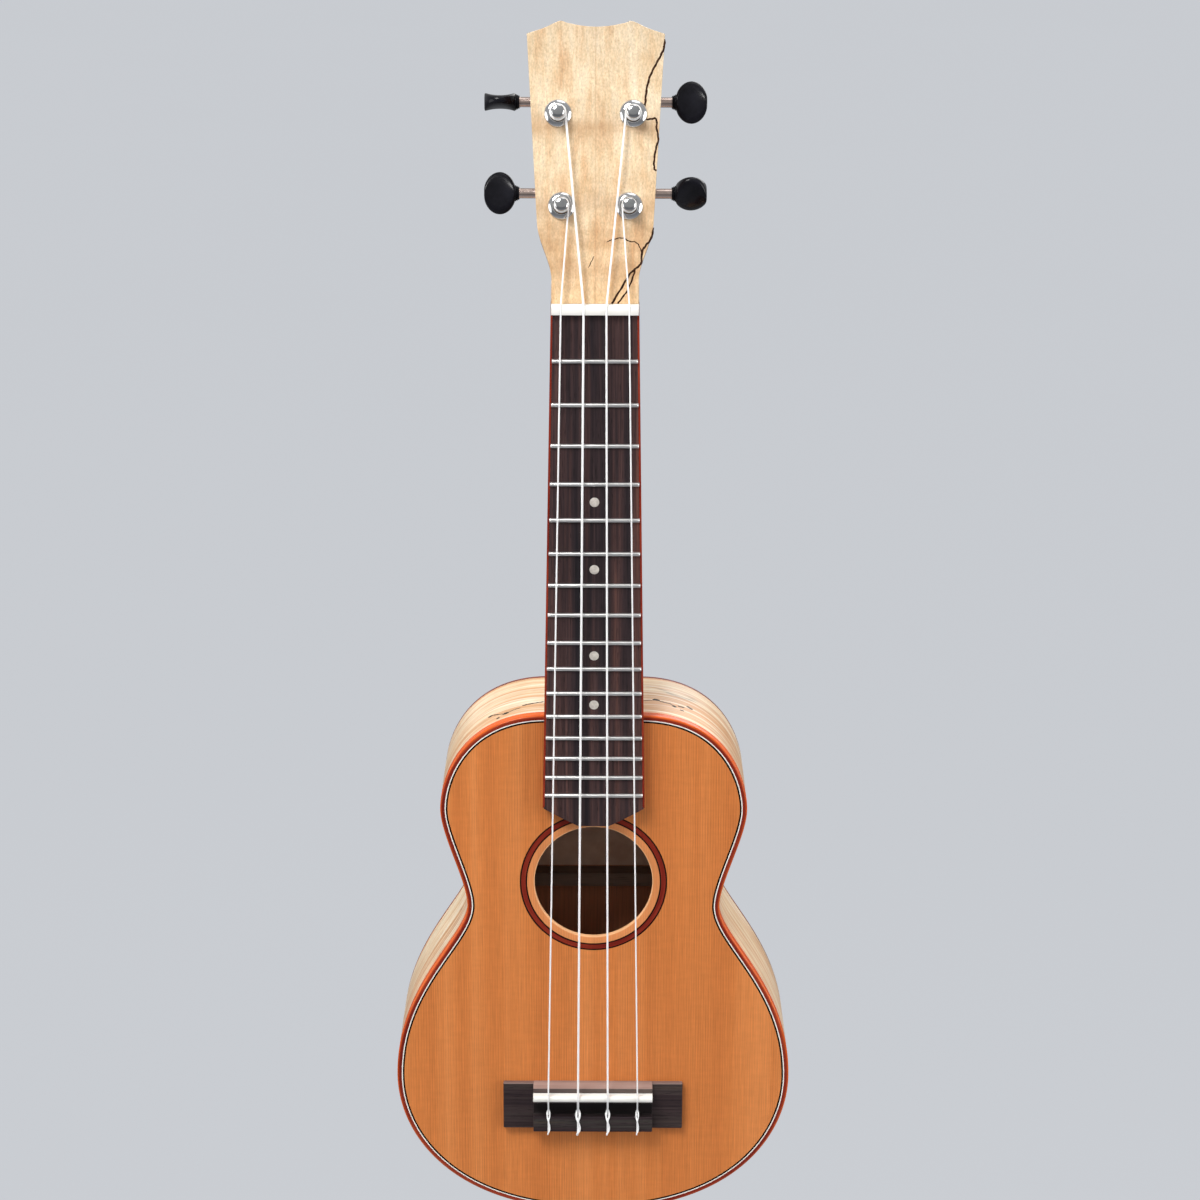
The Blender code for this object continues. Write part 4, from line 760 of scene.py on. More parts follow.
def make_ring(name, inner, outer, material, **options):
    """A flat ring round the soundhole, level with the top; its grain runs round it."""
    low = ROSETTE_DEPTH - CLEAR
    profile = [(inner, 0.0), (outer, 0.0), (outer, low), (inner, low)]
    centre = spot(0, SOUNDHOLE_STATION, TOP_DEPTH)
    shape = turned(profile, centre, INWARD, RING_STEPS, loop=True)
    step = 0.03 * 2 * math.pi / RING_STEPS
    grain = [(r * MM, h * MM, step * i) for r, h in profile for i in range(RING_STEPS)]
    make(name, shape, material, grain=grain, **options)


def make_rib(name, side, material):
    low = TOP_DEPTH + TOP_BINDING_DEPTH
    high = BACK_DEPTH - BACK_BINDING_DEPTH
    levels = [low + (high - low) * i / RIB_LEVELS for i in range(RIB_LEVELS + 1)]
    profile = [(0.0, z) for z in levels] + [(RIB_THICKNESS, z) for z in reversed(levels)]
    walls = {inset: inset_half(inset) for inset in (0.0, RIB_THICKNESS)}
    rings = []
    grain = []
    for i, run in enumerate(OUTLINE_RUN):
        run += 800 * (side > 0)
        places = [(*walls[inset][i], z) for inset, z in profile]
        rings.append([spot(side * max(x, CLEAR), y, z) for x, y, z in places])
        grain += [((z - low) * MM, inset * MM, run * MM) for inset, z in profile]
    make(f"side_{name}", skin(rings), material, "spalted_maple", (f"rib_{name}",), grain=grain)


def rib_spot(side, run, depth, sunk):
    """A place on a rib: a run along the outline from the neck join and a depth."""
    i = min(bisect.bisect_right(OUTLINE_RUN, run), len(OUTLINE_RUN) - 1)
    share = (run - OUTLINE_RUN[i - 1]) / (OUTLINE_RUN[i] - OUTLINE_RUN[i - 1])
    way = (HALF_OUTLINE[i] - HALF_OUTLINE[i - 1]).normalized()
    point = HALF_OUTLINE[i - 1].lerp(HALF_OUTLINE[i], share) - Vector((way.y, -way.x)) * sunk
    return spot(side * point.x, point.y, depth)


def inlay(points, width, number, place):
    """A thin wandering strip along a line on a surface; place() takes two places on it and
    how deep it is sunk."""
    line = curved([Vector(p) for p in points], 7)
    rings = []
    for i, point in enumerate(line):
        run = heading(line, i)
        across = Vector((run.y, -run.x))
        wander = 0.12 * math.sin(2.3 * i) + 0.08 * math.sin(5.1 * i + number)
        taper = min(1.0, (i + 1) / 4, (len(line) - i) / 4)
        middle = point + across * 0.09 * math.sin(1.1 * i + 2 * number)
        half = across * width / 2 * taper * (1 + wander)
        near, far = middle + half, middle - half
        corners = ((near, -0.015), (far, -0.015), (far, 0.1), (near, 0.1))
        rings.append([place(*corner, sunk) for corner, sunk in corners])
    return skin(rings)


def make_rib_marks(material):
    """Short dark fungus marks near the top binding, by the neck."""
    marks = (
        (-1, 0.8, (21.4, 23.9), (23.5, 23.2), (26.2, 22.4), (29.5, 21.6), (31.0, 21.0)),
        (-1, 0.45, (31.6, 18.9), (33.6, 18.2), (35.4, 17.5), (38.1, 16.4), (39.9, 16.8)),
        (-1, 1.6, (36.9, 17.0), (38.1, 16.5), (39.4, 16.6)),
        (-1, 0.5, (39.2, 16.7), (41.9, 18.7), (44.0, 20.6), (45.6, 21.0)),
        (-1, 1.3, (44.6, 20.9), (45.6, 21.2), (46.6, 20.7)),
        (-1, 1.1, (40.9, 14.1), (41.7, 13.8), (42.5, 13.6)),
        (1, 0.5, (21.0, 25.6), (23.5, 26.4), (25.5, 26.9)),
        (1, 1.5, (25.5, 26.9), (26.8, 28.0), (28.2, 26.9)),
        (1, 0.6, (28.0, 26.9), (30.3, 25.9), (32.0, 25.8), (34.2, 24.9)),
        (1, 1.3, (33.9, 24.2), (34.7, 23.5), (35.6, 22.7)),
        (1, 1.0, (36.3, 25.2), (37.9, 25.4), (39.5, 26.1)),
        (1, 1.2, (40.6, 29.2), (41.4, 28.8), (42.4, 28.2), (43.4, 27.7)),
        (1, 0.8, (37.2, 20.7), (38.2, 21.0), (39.2, 21.0)),
    )
    for number, (side, width, *points) in enumerate(marks, 1):
        shape = inlay(points, 1.3 * width, number, partial(rib_spot, side))
        make(f"rib_mark_{number:02d}", shape, material)


def make_body():
    pale = (0.92, 0.76, 0.54)
    ribs = maple("ribs_maple", "path", 0.55, (pale, (0.86, 0.61, 0.37), (0.70, 0.38, 0.18)),
                 spread=(0.38, 0.5, 0.6))
    back = maple("back_maple", "z", 0.9, (pale, (0.86, 0.64, 0.41), (0.66, 0.4, 0.22)),
                 offset=(3.3, 1.7, 5.1),
                 inner=((BACK_DEPTH - 1.0 - ORIGIN_DEPTH) * MM, (0.52, 0.21, 0.11)))
    red = red_wood("red_ring", "path")
    edge = red_wood("red_edge", "path", orange=True)
    white = smooth_stuff("white_line", (0.86, 0.83, 0.77), (0.92, 0.89, 0.84), 400, (0.3, 0.4),
                         gloss=0.15)
    black = smooth_stuff("black_line", (0.004, 0.003, 0.002), (0.009, 0.006, 0.005), 400,
                         (0.45, 0.6), gloss=0.06)
    spalt = smooth_stuff("spalt_black", (0.01, 0.009, 0.007), (0.035, 0.03, 0.022), 900,
                         (0.4, 0.5), gloss=0.1)
    paper = smooth_stuff("label_paper", (0.56, 0.36, 0.26), (0.66, 0.46, 0.35), 120,
                         (0.75, 0.9), gloss=0.1)
    make_soundboard(cedar())
    inner, outer = ROSETTE_INNER + ROSETTE_LINE, ROSETTE_OUTER - ROSETTE_LINE
    make_ring("rosette_ring", inner, outer, red, slot="red_binding", replaces=("rosette",))
    make_ring("rosette_line_inner", ROSETTE_INNER + CLEAR, inner, black)
    make_ring("rosette_line_outer", outer, ROSETTE_OUTER - CLEAR, black)
    rim("top_edging", binding_profile(TOP_DEPTH, 1, TOP_BINDING_DEPTH), edge,
        slot="red_binding", replaces=("top_binding",))
    rim("back_edging", binding_profile(BACK_DEPTH, -1, BACK_BINDING_DEPTH), red,
        slot="red_binding", replaces=("back_binding",))
    rim("edge_line_white", line_profile(BINDING_WIDTH, WHITE_LINE_END), white)
    rim("edge_line_black", line_profile(WHITE_LINE_END, BLACK_LINE_END - CLEAR), black)
    for name, side in SIDES:
        make_rib(name, side, ribs)
    make_rib_marks(spalt)
    face = BACK_DEPTH - PLATE_THICKNESS
    make("back_panel", prism(full_outline(BINDING_WIDTH), face, BACK_DEPTH), back,
         "spalted_maple", ("back_plate",))
    # A bare paper label on the back's inner face, its lower edge at the back brace
    outline = rounded_box(-LABEL_HALF, LABEL_HALF, LABEL_STATION - LABEL_LENGTH, LABEL_STATION,
                          1.5, 4)
    make("paper_label", prism(outline, face - 0.15, face - CLEAR), paper)


# Fretboard and nut


def board_half(station):
    share = station / FRETBOARD_END
    return FRETBOARD_HALVES[0] + (FRETBOARD_HALVES[1] - FRETBOARD_HALVES[0]) * share


def fret_station(number):
    return SCALE_LENGTH * (1 - 2 ** (-number / 12))


def make_fretboard(material):
    """The board, whose end narrows in a soft curve to a tongue."""
    corner = Vector((FRETBOARD_HALVES[1], FRETBOARD_END))
    tip = Vector((TONGUE_HALF, FRETBOARD_TIP))
    run = corner.x - tip.x
    drop = FRETBOARD_TIP - FRETBOARD_END
    inward = corner + Vector((-0.33 * run, 0.36 * drop))
    rising = tip + Vector((0.33 * run, -0.30 * drop))
    right = [
        Vector((board_half(0) - EDGING_WIDTH, CLEAR)),
        Vector((board_half(FRETBOARD_END) - EDGING_WIDTH, FRETBOARD_END - 0.5)),
        Vector((FRETBOARD_HALVES[1] - 0.35, FRETBOARD_END - 0.1)),
        *bezier(corner, inward, rising, tip, 28)[1:],
        tip,
    ]
    outline = right + [Vector((-p.x, p.y)) for p in reversed(right)]
    board = prism(outline, 0, FRETBOARD_THICKNESS)
    eased(make("fingerboard", board, material, "rosewood", ("fretboard",)), 0.18)


def make_edging(material):
    """The thin strips along the fretboard's two long sides."""
    for name, side in SIDES:
        outline = []
        for inset, cut, way in ((0.0, 0.1, 1), (EDGING_WIDTH - CLEAR, 0.45, -1)):
            stations = (CLEAR, FRETBOARD_END / 2, FRETBOARD_END - cut)
            outline += [(side * (board_half(s) - inset), s) for s in stations][::way]
        strip = prism(outline, 0, FRETBOARD_THICKNESS)
        eased(make(f"fingerboard_edge_{name}", strip, material, "red_binding"), 0.2)


def make_frets(material):
    """Rounded crowns whose ends lean inwards at the edging."""
    arch = [(FRET_HALF_WIDTH * c, s**0.8) for c, s in arc(12, 0, 180)]
    for number in range(1, FRET_COUNT + 1):
        station = fret_station(number)
        reach = board_half(station) - EDGING_WIDTH + 0.15
        rings = []
        for side, lean, lift in both_ends(FRET_ENDS):
            x = side * (reach - FRET_END_LEAN * lean)
            rings.append([spot(x, station + y, 0.05 - FRET_HEIGHT * lift * z) for y, z in arch])
        make(f"fret_wire_{number:02d}", skin(rings), material, "nickel_silver",
             (f"fret_{number:02d}",), angle=60)


def make_dots(material):
    profile = [(0.01, -0.03), (DOT_RADIUS - 0.1, -0.03), (DOT_RADIUS, 0.0), (DOT_RADIUS, 1.0)]
    for number in DOT_FRETS:
        station = (fret_station(number - 1) + fret_station(number)) / 2
        shape = turned(profile, spot(0, station, 0), INWARD, 32)
        make(f"position_dot_{number:02d}", shape, material)


def make_nut(material):
    """A block whose rounded top carries four half-round slots."""
    xs = {side * (NUT_HALF - inset) for inset in (0.0, 0.12, NUT_ROUND) for side in (-1, 1)}
    slots = [((i - 1.5) * NUT_SPACING, size / 2 + SLOT_PLAY)
             for i, size in enumerate(STRINGS.values())]
    for centre, radius in slots:
        xs.update(centre + radius * c for c, _ in arc(8, 0, 180))
        xs.update((centre - 0.2 - radius, centre + 0.2 + radius))
    floor = SLOT_DEPTH - STRING_LAY
    back = -0.6 * NUT_RISE
    rings = []
    for x in sorted(xs):
        inset = min(NUT_HALF - abs(x), NUT_ROUND)
        fall = math.sqrt(max(0.0, NUT_ROUND**2 - (NUT_ROUND - inset) ** 2))
        top = -NUT_RISE + NUT_ROUND - fall
        for centre, radius in slots:
            if abs(x - centre) < radius:
                top = max(top, floor - radius + math.sqrt(radius**2 - (x - centre) ** 2))
        section = [(-NUT_THICKNESS, FRETBOARD_THICKNESS), (0, FRETBOARD_THICKNESS)]
        section += [(0, top + 0.25), (-0.08, top + 0.07), (-0.25, top), (-2.2, top)]
        section += [(-2.8, top + 0.08), (-3.5, max(top, back - 0.35))]
        section += [(-3.85, max(top, back - 0.1)), (-NUT_THICKNESS, max(top, back + 0.25))]
        rings.append([spot(x, y, z) for y, z in section])
    make("bone_nut", skin(rings), material, "bone", ("nut",), angle=42)


# Bridge and strings


def make_bridge(material, wing_material):
    """The bridge's side profile drawn across it, and lower wings at both ends."""
    base = TOP_DEPTH - CLEAR
    ridge = TOP_DEPTH - RIDGE_HEIGHT
    block = TOP_DEPTH - BLOCK_HEIGHT
    channel = TOP_DEPTH - CHANNEL_HEIGHT
    wing = TOP_DEPTH - WING_HEIGHT
    floor = ridge + 3.6
    slot = SADDLE_THICKNESS / 2 + 0.05
    profile = (
        (BRIDGE_FRONT, base), (BRIDGE_FRONT, wing), (BRIDGE_FRONT + 0.6, ridge),
        (SADDLE_STATION - slot, ridge), (SADDLE_STATION - slot, floor),
        (SADDLE_STATION + slot, floor), (SADDLE_STATION + slot, ridge), (RIDGE_END, ridge),
        (RIDGE_END, channel), (CHANNEL_END, channel), (CHANNEL_END, block),
        (BRIDGE_END - 0.4, block), (BRIDGE_END, block + 0.6), (BRIDGE_END, base),
    )
    centre = swept(profile, (-CENTRE_HALF, CENTRE_HALF))
    eased(make("bridge_body", centre, material, "rosewood", ("bridge",)), 0.3)
    box = ((BRIDGE_FRONT, base), (BRIDGE_FRONT, wing), (BRIDGE_END, wing), (BRIDGE_END, base))
    for name, side in SIDES:
        shape = swept(box, (side * (CENTRE_HALF - 0.5), side * BRIDGE_HALF))
        eased(make(f"bridge_wing_{name}", shape, wing_material, "rosewood"), 0.45)


def make_saddle(material):
    """A thin plate with a round crest and eased ends."""
    half = SADDLE_THICKNESS / 2
    crest = TOP_DEPTH - SADDLE_HEIGHT
    profile = [(-half, SADDLE_FOOT), (half, SADDLE_FOOT), (half, crest + SADDLE_CREST)]
    profile += [(half * c, crest + SADDLE_CREST * (1 - s)) for c, s in arc(12, 0, 180)[1:-1]]
    profile.append((-half, crest + SADDLE_CREST))
    rings = []
    for side, end, drop in both_ends(SADDLE_ENDS):
        x = side * (CENTRE_HALF - CLEAR - end)
        rings.append([spot(x, SADDLE_STATION + y, min(z + drop, SADDLE_FOOT))
                      for y, z in profile])
    make("bone_saddle", skin(rings), material, "bone", ("saddle",), angle=50)


def post_turns(index, size):
    """From the nut to the post's inner side, then round it, climbing towards the cap."""
    side, half, length, _ = TUNERS[STRING_TUNERS[index]]
    lay = size / 2 + STRING_LAY
    radius = GROOVE_RADIUS + lay
    centre = Vector((side * half, -length))
    run = centre - Vector(((index - 1.5) * NUT_SPACING, 0))
    first = math.atan2(run.y, run.x) - side * (math.asin(radius / run.length) + math.pi / 2)
    turns = []
    for step in range(STRING_TURNS * TURN_STEPS + 1):
        share = step / TURN_STEPS
        angle = first + side * 2 * math.pi * share
        depth = GROOVE_BACK - 0.4 - lay - (size + STRING_LEAST_GAP) * share
        place = centre + Vector((math.cos(angle), math.sin(angle))) * radius
        turns.append(head_spot(place.x, -place.y, depth))
    return turns


def eye_depth(station, size):
    """The string's depth between the saddle and its hole in the block."""
    start = SADDLE_STATION + 1.2
    high = TOP_DEPTH - SADDLE_HEIGHT - size / 2 + STRING_DROP
    low = TOP_DEPTH - TIE_HOLE_HEIGHT
    return high + (low - high) * (station - start) / (CHANNEL_END - start)


def tie_line(x, size):
    """The tied end: over the block, round the string in front of it, back and twisted once.

    Each point is its way from the string, in radii, its station and its depth.
    """
    r = size / 2
    top = TOP_DEPTH - BLOCK_HEIGHT - r - CLEAR
    eye = CHANNEL_END - 3.1
    level = eye_depth(eye, size)
    cross = CHANNEL_END + 1.7
    points = (
        (0.1 / r, BRIDGE_END + 0.45, top + 1.3),
        (0.1, BRIDGE_END - 0.6, top + 0.05),
        (0.1, BRIDGE_END - 2.4, top),
        (0.2, cross, top),
        (1.2, CHANNEL_END + 0.2, top),
        (1.65, CHANNEL_END - 1.4, (top + level) / 2),
        (1.2, eye + 0.8, level + 0.6 * r),
        (0.0, eye, level + 1.9 * r),
        (-1.2, eye + 0.8, level + 0.6 * r),
        (-1.65, CHANNEL_END - 1.4, (top + level) / 2 - 0.1),
        (-1.2, CHANNEL_END + 0.2, top - 0.4 * r),
        (0.0, cross, top - 1.9 * r),
        (1.5, BRIDGE_END - 3.1, top - 1.1 * r),
        (1.2, BRIDGE_END - 1.3, top - 1.3 * r),
        (-0.4, BRIDGE_END + 0.1, top - 1.4 * r),
        (-0.7, BRIDGE_END + 0.9, top - 0.6 * r),
    )
    return [spot(x + away * r, y, z) for away, y, z in points]


def make_strings(material):
    for index, (name, size) in enumerate(STRINGS.items()):
        x = (index - 1.5) * SADDLE_SPACING
        nut_x = (index - 1.5) * NUT_SPACING
        crest = TOP_DEPTH - SADDLE_HEIGHT - size / 2
        hole = TOP_DEPTH - TIE_HOLE_HEIGHT
        slot = SLOT_DEPTH - size / 2 - STRING_LAY
        turns = post_turns(index, size)
        corners = [
            spot(x, BRIDGE_END - 0.8, hole),
            spot(x, CHANNEL_END, hole),
            spot(x, SADDLE_STATION + 1.2, crest + STRING_DROP),
            spot(x, SADDLE_STATION - 0.4, crest),
            spot(nut_x, 0, slot),
            spot(nut_x, -NUT_THICKNESS, slot),
            turns[0],
        ]
        tied = curved(tie_line(x, size), 8)
        behind = spot(x + 0.05, BRIDGE_END + 0.55, hole - 0.6)
        back = curved([corners[0], behind, tied[0]], 5)[:-1]
        line = tied[::-1] + back[::-1] + filleted(corners, 1.1 * MM)[1:-1] + turns
        make(f"string_line_{name}", tube(line, size / 2 * MM), material, "nylon",
             (f"string_{name}",), angle=70)


# Neck and headstock


def head_outline(foot):
    """The headstock's face as (x, length) points, from a foot above the nut."""
    right = [Vector((THROAT[0], foot))]
    for i in range(15):
        share = i / 14
        ease = share * share * (3 - 2 * share)
        x = THROAT[0] + (SHOULDER[0] - THROAT[0]) * ease
        right.append(Vector((x, THROAT[1] + (SHOULDER[1] - THROAT[1]) * share)))
    middle = (CORNER[0] + PEAK[0]) / 2
    rise = PEAK[1] - CORNER[1]
    crown = (
        CORNER,
        (middle + 1.2, CORNER[1] + 0.34 * rise), (middle - 1.6, CORNER[1] + 0.56 * rise),
        PEAK,
        (PEAK[0] - 3.2, PEAK[1] - 0.8), (0.4 * PEAK[0], CORNER[1] + 3.22), (0, DIP),
        (-0.4 * PEAK[0], CORNER[1] + 3.22),
    )
    right += curved([Vector(p) for p in crown], 6)[:37]
    return right + [Vector((-p.x, p.y)) for p in reversed(right[:-1])]


def neck_section(half, top, bottom, roundness=1.0, foot=None, fullness=1.0):
    """A section of the neck between a point on its flat top and one at its bottom."""
    points = []
    for c, s in arc(30, 0, 180):
        across = math.copysign(abs(c) ** (roundness * fullness), c)
        down = abs(s) ** roundness
        width = half if foot is None else half + (foot - half) * down
        place = top.lerp(bottom, down)
        points.append(Vector((across * width * MM, place.y, place.z)))
    return points


def neck_ring(station, depth, foot=None, fullness=1.0):
    top = spot(0, station, TOP_DEPTH)
    bottom = spot(0, station, TOP_DEPTH + depth)
    return neck_section(board_half(max(station, 0)), top, bottom, 1.0, foot, fullness)


def blended(rings, steps):
    """More sections between those given, along smooth lines through their points."""
    lines = [curved(points, steps) for points in zip(*rings)]
    return [list(section) for section in zip(*lines)]


def make_neck(material):
    """The neck from the headstock's throat to the heel, and the headstock's core."""
    lift = HEADPLATE_THICKNESS + 0.05
    throat = []
    for face, back, wider, thicker, roundness in THROAT_SECTIONS:
        top = head_spot(0, face * THROAT[1], lift)
        bottom = head_spot(0, back * THROAT[1], HEAD_THICKNESS + thicker)
        throat.append(neck_section(THROAT[0] + wider, top, bottom, roundness))
    start = -NUT_THICKNESS - CLEAR
    ledge = neck_ring(start - 0.6, NECK_DEPTHS[0])
    for end in (0, -1):
        side = math.copysign(THROAT[0], ledge[end].x)
        ledge[end] = head_spot(side, 0.6, lift)
    heel_start = BODY_STATION - HEEL_LENGTH
    rings = [throat[0]] + blended(throat[1:] + [ledge], 4)
    for i in range(13):
        share = i / 12
        depth = NECK_DEPTHS[0] + (NECK_DEPTHS[1] - NECK_DEPTHS[0]) * share
        rings.append(neck_ring(start + (heel_start - start) * share, depth))
    full = BACK_DEPTH - TOP_DEPTH - HEEL_FOOT_CLEARANCE
    for i in range(1, 29):
        share = i / 28
        station = heel_start + (HEEL_LENGTH - CLEAR) * share
        half = board_half(station)
        depth = NECK_DEPTHS[1] + (full - NECK_DEPTHS[1]) * share**HEEL_FLARE
        foot = half + (HEEL_FOOT_HALF - half) * share
        rings.append(neck_ring(station, depth, foot, 1 - (1 - HEEL_FULLNESS) * share))
    make("neck_shaft", skin(rings), material, "mahogany", ("neck",), angle=50)
    outline = head_outline(THROAT[1] - 0.2)
    core = prism(outline, HEADPLATE_THICKNESS + CLEAR, HEAD_THICKNESS, head_spot)
    eased(make("head_core", core, material, "mahogany", angle=30), 1.0, 4, 50)


def make_headplate(material, dark):
    """The headstock's veneer and the dark lines in it."""
    rings = []
    for foot, depth in ((-0.16, 0), (0.24, HEADPLATE_THICKNESS)):
        rings.append([head_spot(x, length, depth) for x, length in head_outline(foot)])
    plate = make("head_face", skin(rings), material, "spalted_maple", ("headplate",), angle=30)
    eased(plate, 0.3, 3, 50)
    lines = (
        (0.85, (28.0, 107.2), (27.6, 103.4), (26.0, 99.8), (23.8, 95.8), (21.9, 91.7),
         (20.7, 86.9), (20.2, 82.2), (20.0, 79.6)),
        (0.8, (20.4, 74.6), (22.3, 74.8), (24.6, 74.8), (24.8, 71.1), (25.5, 66.7),
         (24.4, 62.2), (23.8, 57.6), (24.0, 54.6), (24.9, 53.9)),
        (0.85, (23.8, 30.9), (22.6, 26.2), (20.7, 23.8), (19.1, 21.1), (18.7, 16.5),
         (16.7, 14.4), (14.1, 12.0), (11.4, 7.5), (7.4, 0.9), (6.8, -0.05)),
        (0.7, (16.4, 14.0), (15.1, 10.0), (13.0, 5.1), (9.9, 0.9), (9.2, -0.05)),
        (0.45, (18.9, 20.5), (17.9, 23.4), (16.3, 25.0), (13.8, 25.3), (11.4, 26.6),
         (8.3, 26.3), (4.5, 25.0)),
        (0.35, (-0.4, 19.3), (-1.6, 16.9), (-2.8, 14.4)),
    )
    for number, (width, *points) in enumerate(lines, 1):
        make(f"zone_line_{number}", inlay(points, width, number, head_spot), dark)


# Tuners


def make_bushing(name, x, length, material):
    """The ferrule round the post, with a rolled rim."""
    rolled = ((3.2, 0.55), (3.45, 0.12), (3.7, 0.0), (4.0, 0.06), (4.35, 0.2), (4.75, 0.42),
              (5.15, 0.68), (5.45, 0.95), (FLANGE_RADIUS, 1.35))
    profile = [(radius, height - FLANGE_HEIGHT) for radius, height in rolled]
    profile = [(3.2, 0.0), *profile, (FLANGE_RADIUS, 0.0)]
    shape = turned(profile, head_spot(x, length, -CLEAR), HEAD_IN, 64, loop=True)
    make(f"ferrule_{name}", shape, material, "chrome", (f"bushing_{name}",), angle=60)


def make_post(name, x, length, chrome, brass):
    """The string post with its domed cap, and its wheel."""
    edge = GROOVE_BACK - GROOVE_LENGTH
    top = edge - 1.5
    near = WORM_DEPTH - WHEEL_HALF
    far = WORM_DEPTH + WHEEL_HALF
    hub = 0.6 * GEAR_RADIUS
    dome = [(CAP_RADIUS * s**0.9, top + 1 - c) for c, s in arc(8, 0, 90)[1:-1]]
    profile = [
        (0.01, top),
        *dome,
        (CAP_RADIUS, edge - 0.5), (CAP_RADIUS, edge - 0.1), (CAP_RADIUS - 0.1, edge),
        (GROOVE_RADIUS + 0.1, edge + 0.2), (GROOVE_RADIUS, edge + 0.5),
        (GROOVE_RADIUS, GROOVE_BACK - 0.5), (GROOVE_RADIUS + 0.2, GROOVE_BACK - 0.15),
        (2.9, GROOVE_BACK), (2.9, near - 0.4), (hub, near - 0.4), (hub, far + 0.6),
        (hub - 0.3, far + 0.9), (0.01, far + 0.9),
    ]
    centre = head_spot(x, length, 0)
    body = f"post_{name}"
    make(f"post_spindle_{name}", turned(profile, centre, HEAD_IN, 48), chrome, "chrome",
         (f"string_post_{name}",), body, angle=50)
    bore = hub + CLEAR
    sections = ((near, bore), (near, None), (WORM_DEPTH, None), (far, None), (far, bore))
    rings = [gear_section(centre, depth, inside) for depth, inside in sections]
    make(f"gear_wheel_{name}", skin(rings, loop=True), brass, "bronze", (), body, angle=25)


def gear_section(centre, depth, bore):
    """One outline of the wheel, whose teeth lean with the worm's thread, or of its bore."""
    twist = WORM_LEAD / (2 * math.pi * WORM_RADIUS) * (WORM_DEPTH - depth) / GEAR_RADIUS
    tip = GEAR_RADIUS + TOOTH_TIP
    root = GEAR_RADIUS - TOOTH_ROOT
    pitch = 2 * math.pi / GEAR_TEETH
    half = TOOTH_HALF * pitch
    flank = TOOTH_FLANK * half
    corners = (
        (root, -half - flank), (tip, -half + flank), (tip, half - flank), (root, half + flank),
    )
    points = []
    for tooth in range(GEAR_TEETH):
        for radius, offset in corners:
            angle = tooth * pitch + offset + twist
            way = HEAD_UP * math.cos(angle) - ACROSS * math.sin(angle)
            points.append(centre + (way * (bore or radius) + HEAD_IN * depth) * MM)
    return points


def make_worm(name, side, half, length, material):
    """The knob's shaft, and the worm's thread on it."""
    centre = head_spot(side * half, length + WORM_OFFSET, WORM_DEPTH)
    end = KNOB_REACH - half + 0.6
    profile = [
        (0.01, -EAR_END - 0.8), (1.1, -EAR_END - 0.8), (1.3, -EAR_END - 0.6), (1.3, -WORM_HALF),
        (WORM_ROOT, -WORM_HALF), (WORM_ROOT, WORM_HALF), (1.3, WORM_HALF), (1.3, EAR_END + 0.3),
        (1.9, EAR_END + 0.3), (2.1, EAR_END + 0.5), (2.1, end - 2.6), (2.25, end - 2.5),
        (2.25, end - 2.1), (2.1, end - 2.0), (2.1, end), (0.01, end),
    ]
    body = f"knob_{name}"
    shaft = turned(profile, centre, ACROSS * side, 32, out=HEAD_UP)
    make(f"knob_shaft_{name}", shaft, material, "bronze", (f"worm_shaft_{name}",), body, 40)
    rings = []
    for step in range(int(WORM_TURNS * THREAD_STEPS) + 1):
        turn = step / THREAD_STEPS - WORM_TURNS / 2
        rings.append(thread_section(centre, 2 * math.pi * turn, turn * WORM_LEAD))
    make(f"worm_thread_{name}", skin(rings), material, "bronze", (), body, 30)


def thread_section(centre, angle, along):
    half = TOOTH_HALF * WORM_LEAD
    flank = TOOTH_FLANK * half
    sunk = WORM_ROOT - 0.1
    base = half + flank * (1 + 0.2 / (WORM_TIP - WORM_ROOT))
    way = HEAD_UP * math.cos(angle) - HEAD_IN * math.sin(angle)
    corners = ((sunk, -base), (WORM_TIP, -half + flank), (WORM_TIP, half - flank), (sunk, base))
    return [centre + (ACROSS * (along + offset) + way * r) * MM for r, offset in corners]


def make_button(name, side, length, turn, material):
    """An oval knob, thick at both ends and waisted between them, with a ribbed collar."""
    centre = head_spot(0, length + WORM_OFFSET, WORM_DEPTH)
    angle = math.radians(turn)
    tall = HEAD_UP * -math.cos(angle) + HEAD_IN * math.sin(angle)
    thin = HEAD_UP * math.sin(angle) + HEAD_IN * math.cos(angle)
    ends = ((0, 0.8), (0.006, 0.9), (0.02, 0.97), (0.05, 1), (0.1, 1))
    middle = [(0.1 + 0.8 * i / 18, 1) for i in range(1, 18)]
    far = [(1 - share, round_off) for share, round_off in reversed(ends)]
    rings = []
    for share, round_off in (*ends, *middle, *far):
        reach = 2 * share - 1
        height = BUTTON_HALF * math.sqrt(1 - 0.9 * reach * reach) * round_off
        thick = (BUTTON_WAIST + BUTTON_SWELL * reach * reach) * round_off
        out = centre + ACROSS * side * (KNOB_REACH + BUTTON_LENGTH * share) * MM
        rings.append([
            out + (tall * height * c + thin * math.copysign(thick * abs(s) ** 0.7, s)) * MM
            for c, s in arc(48)
        ])
    body = f"knob_{name}"
    make(f"knob_button_{name}", skin(rings), material, "black_plastic", (f"button_{name}",),
         body, 50)
    collar = ((2.13, 0.0), (2.6, 0.0), (2.75, 0.1), (2.75, 0.35), (2.5, 0.45), (2.6, 0.55),
              (3.0, 0.65), (3.0, 0.95), (2.75, 1.05), (2.85, 1.15), (3.25, 1.25), (3.3, 1.7),
              (3.2, 2.1), (2.13, 2.1))
    placed = [(radius, KNOB_REACH - 1.6 + along) for radius, along in collar]
    shape = turned(placed, centre, ACROSS * side, 40, loop=True)
    make(f"knob_collar_{name}", shape, material, "black_plastic", (), body, 40)


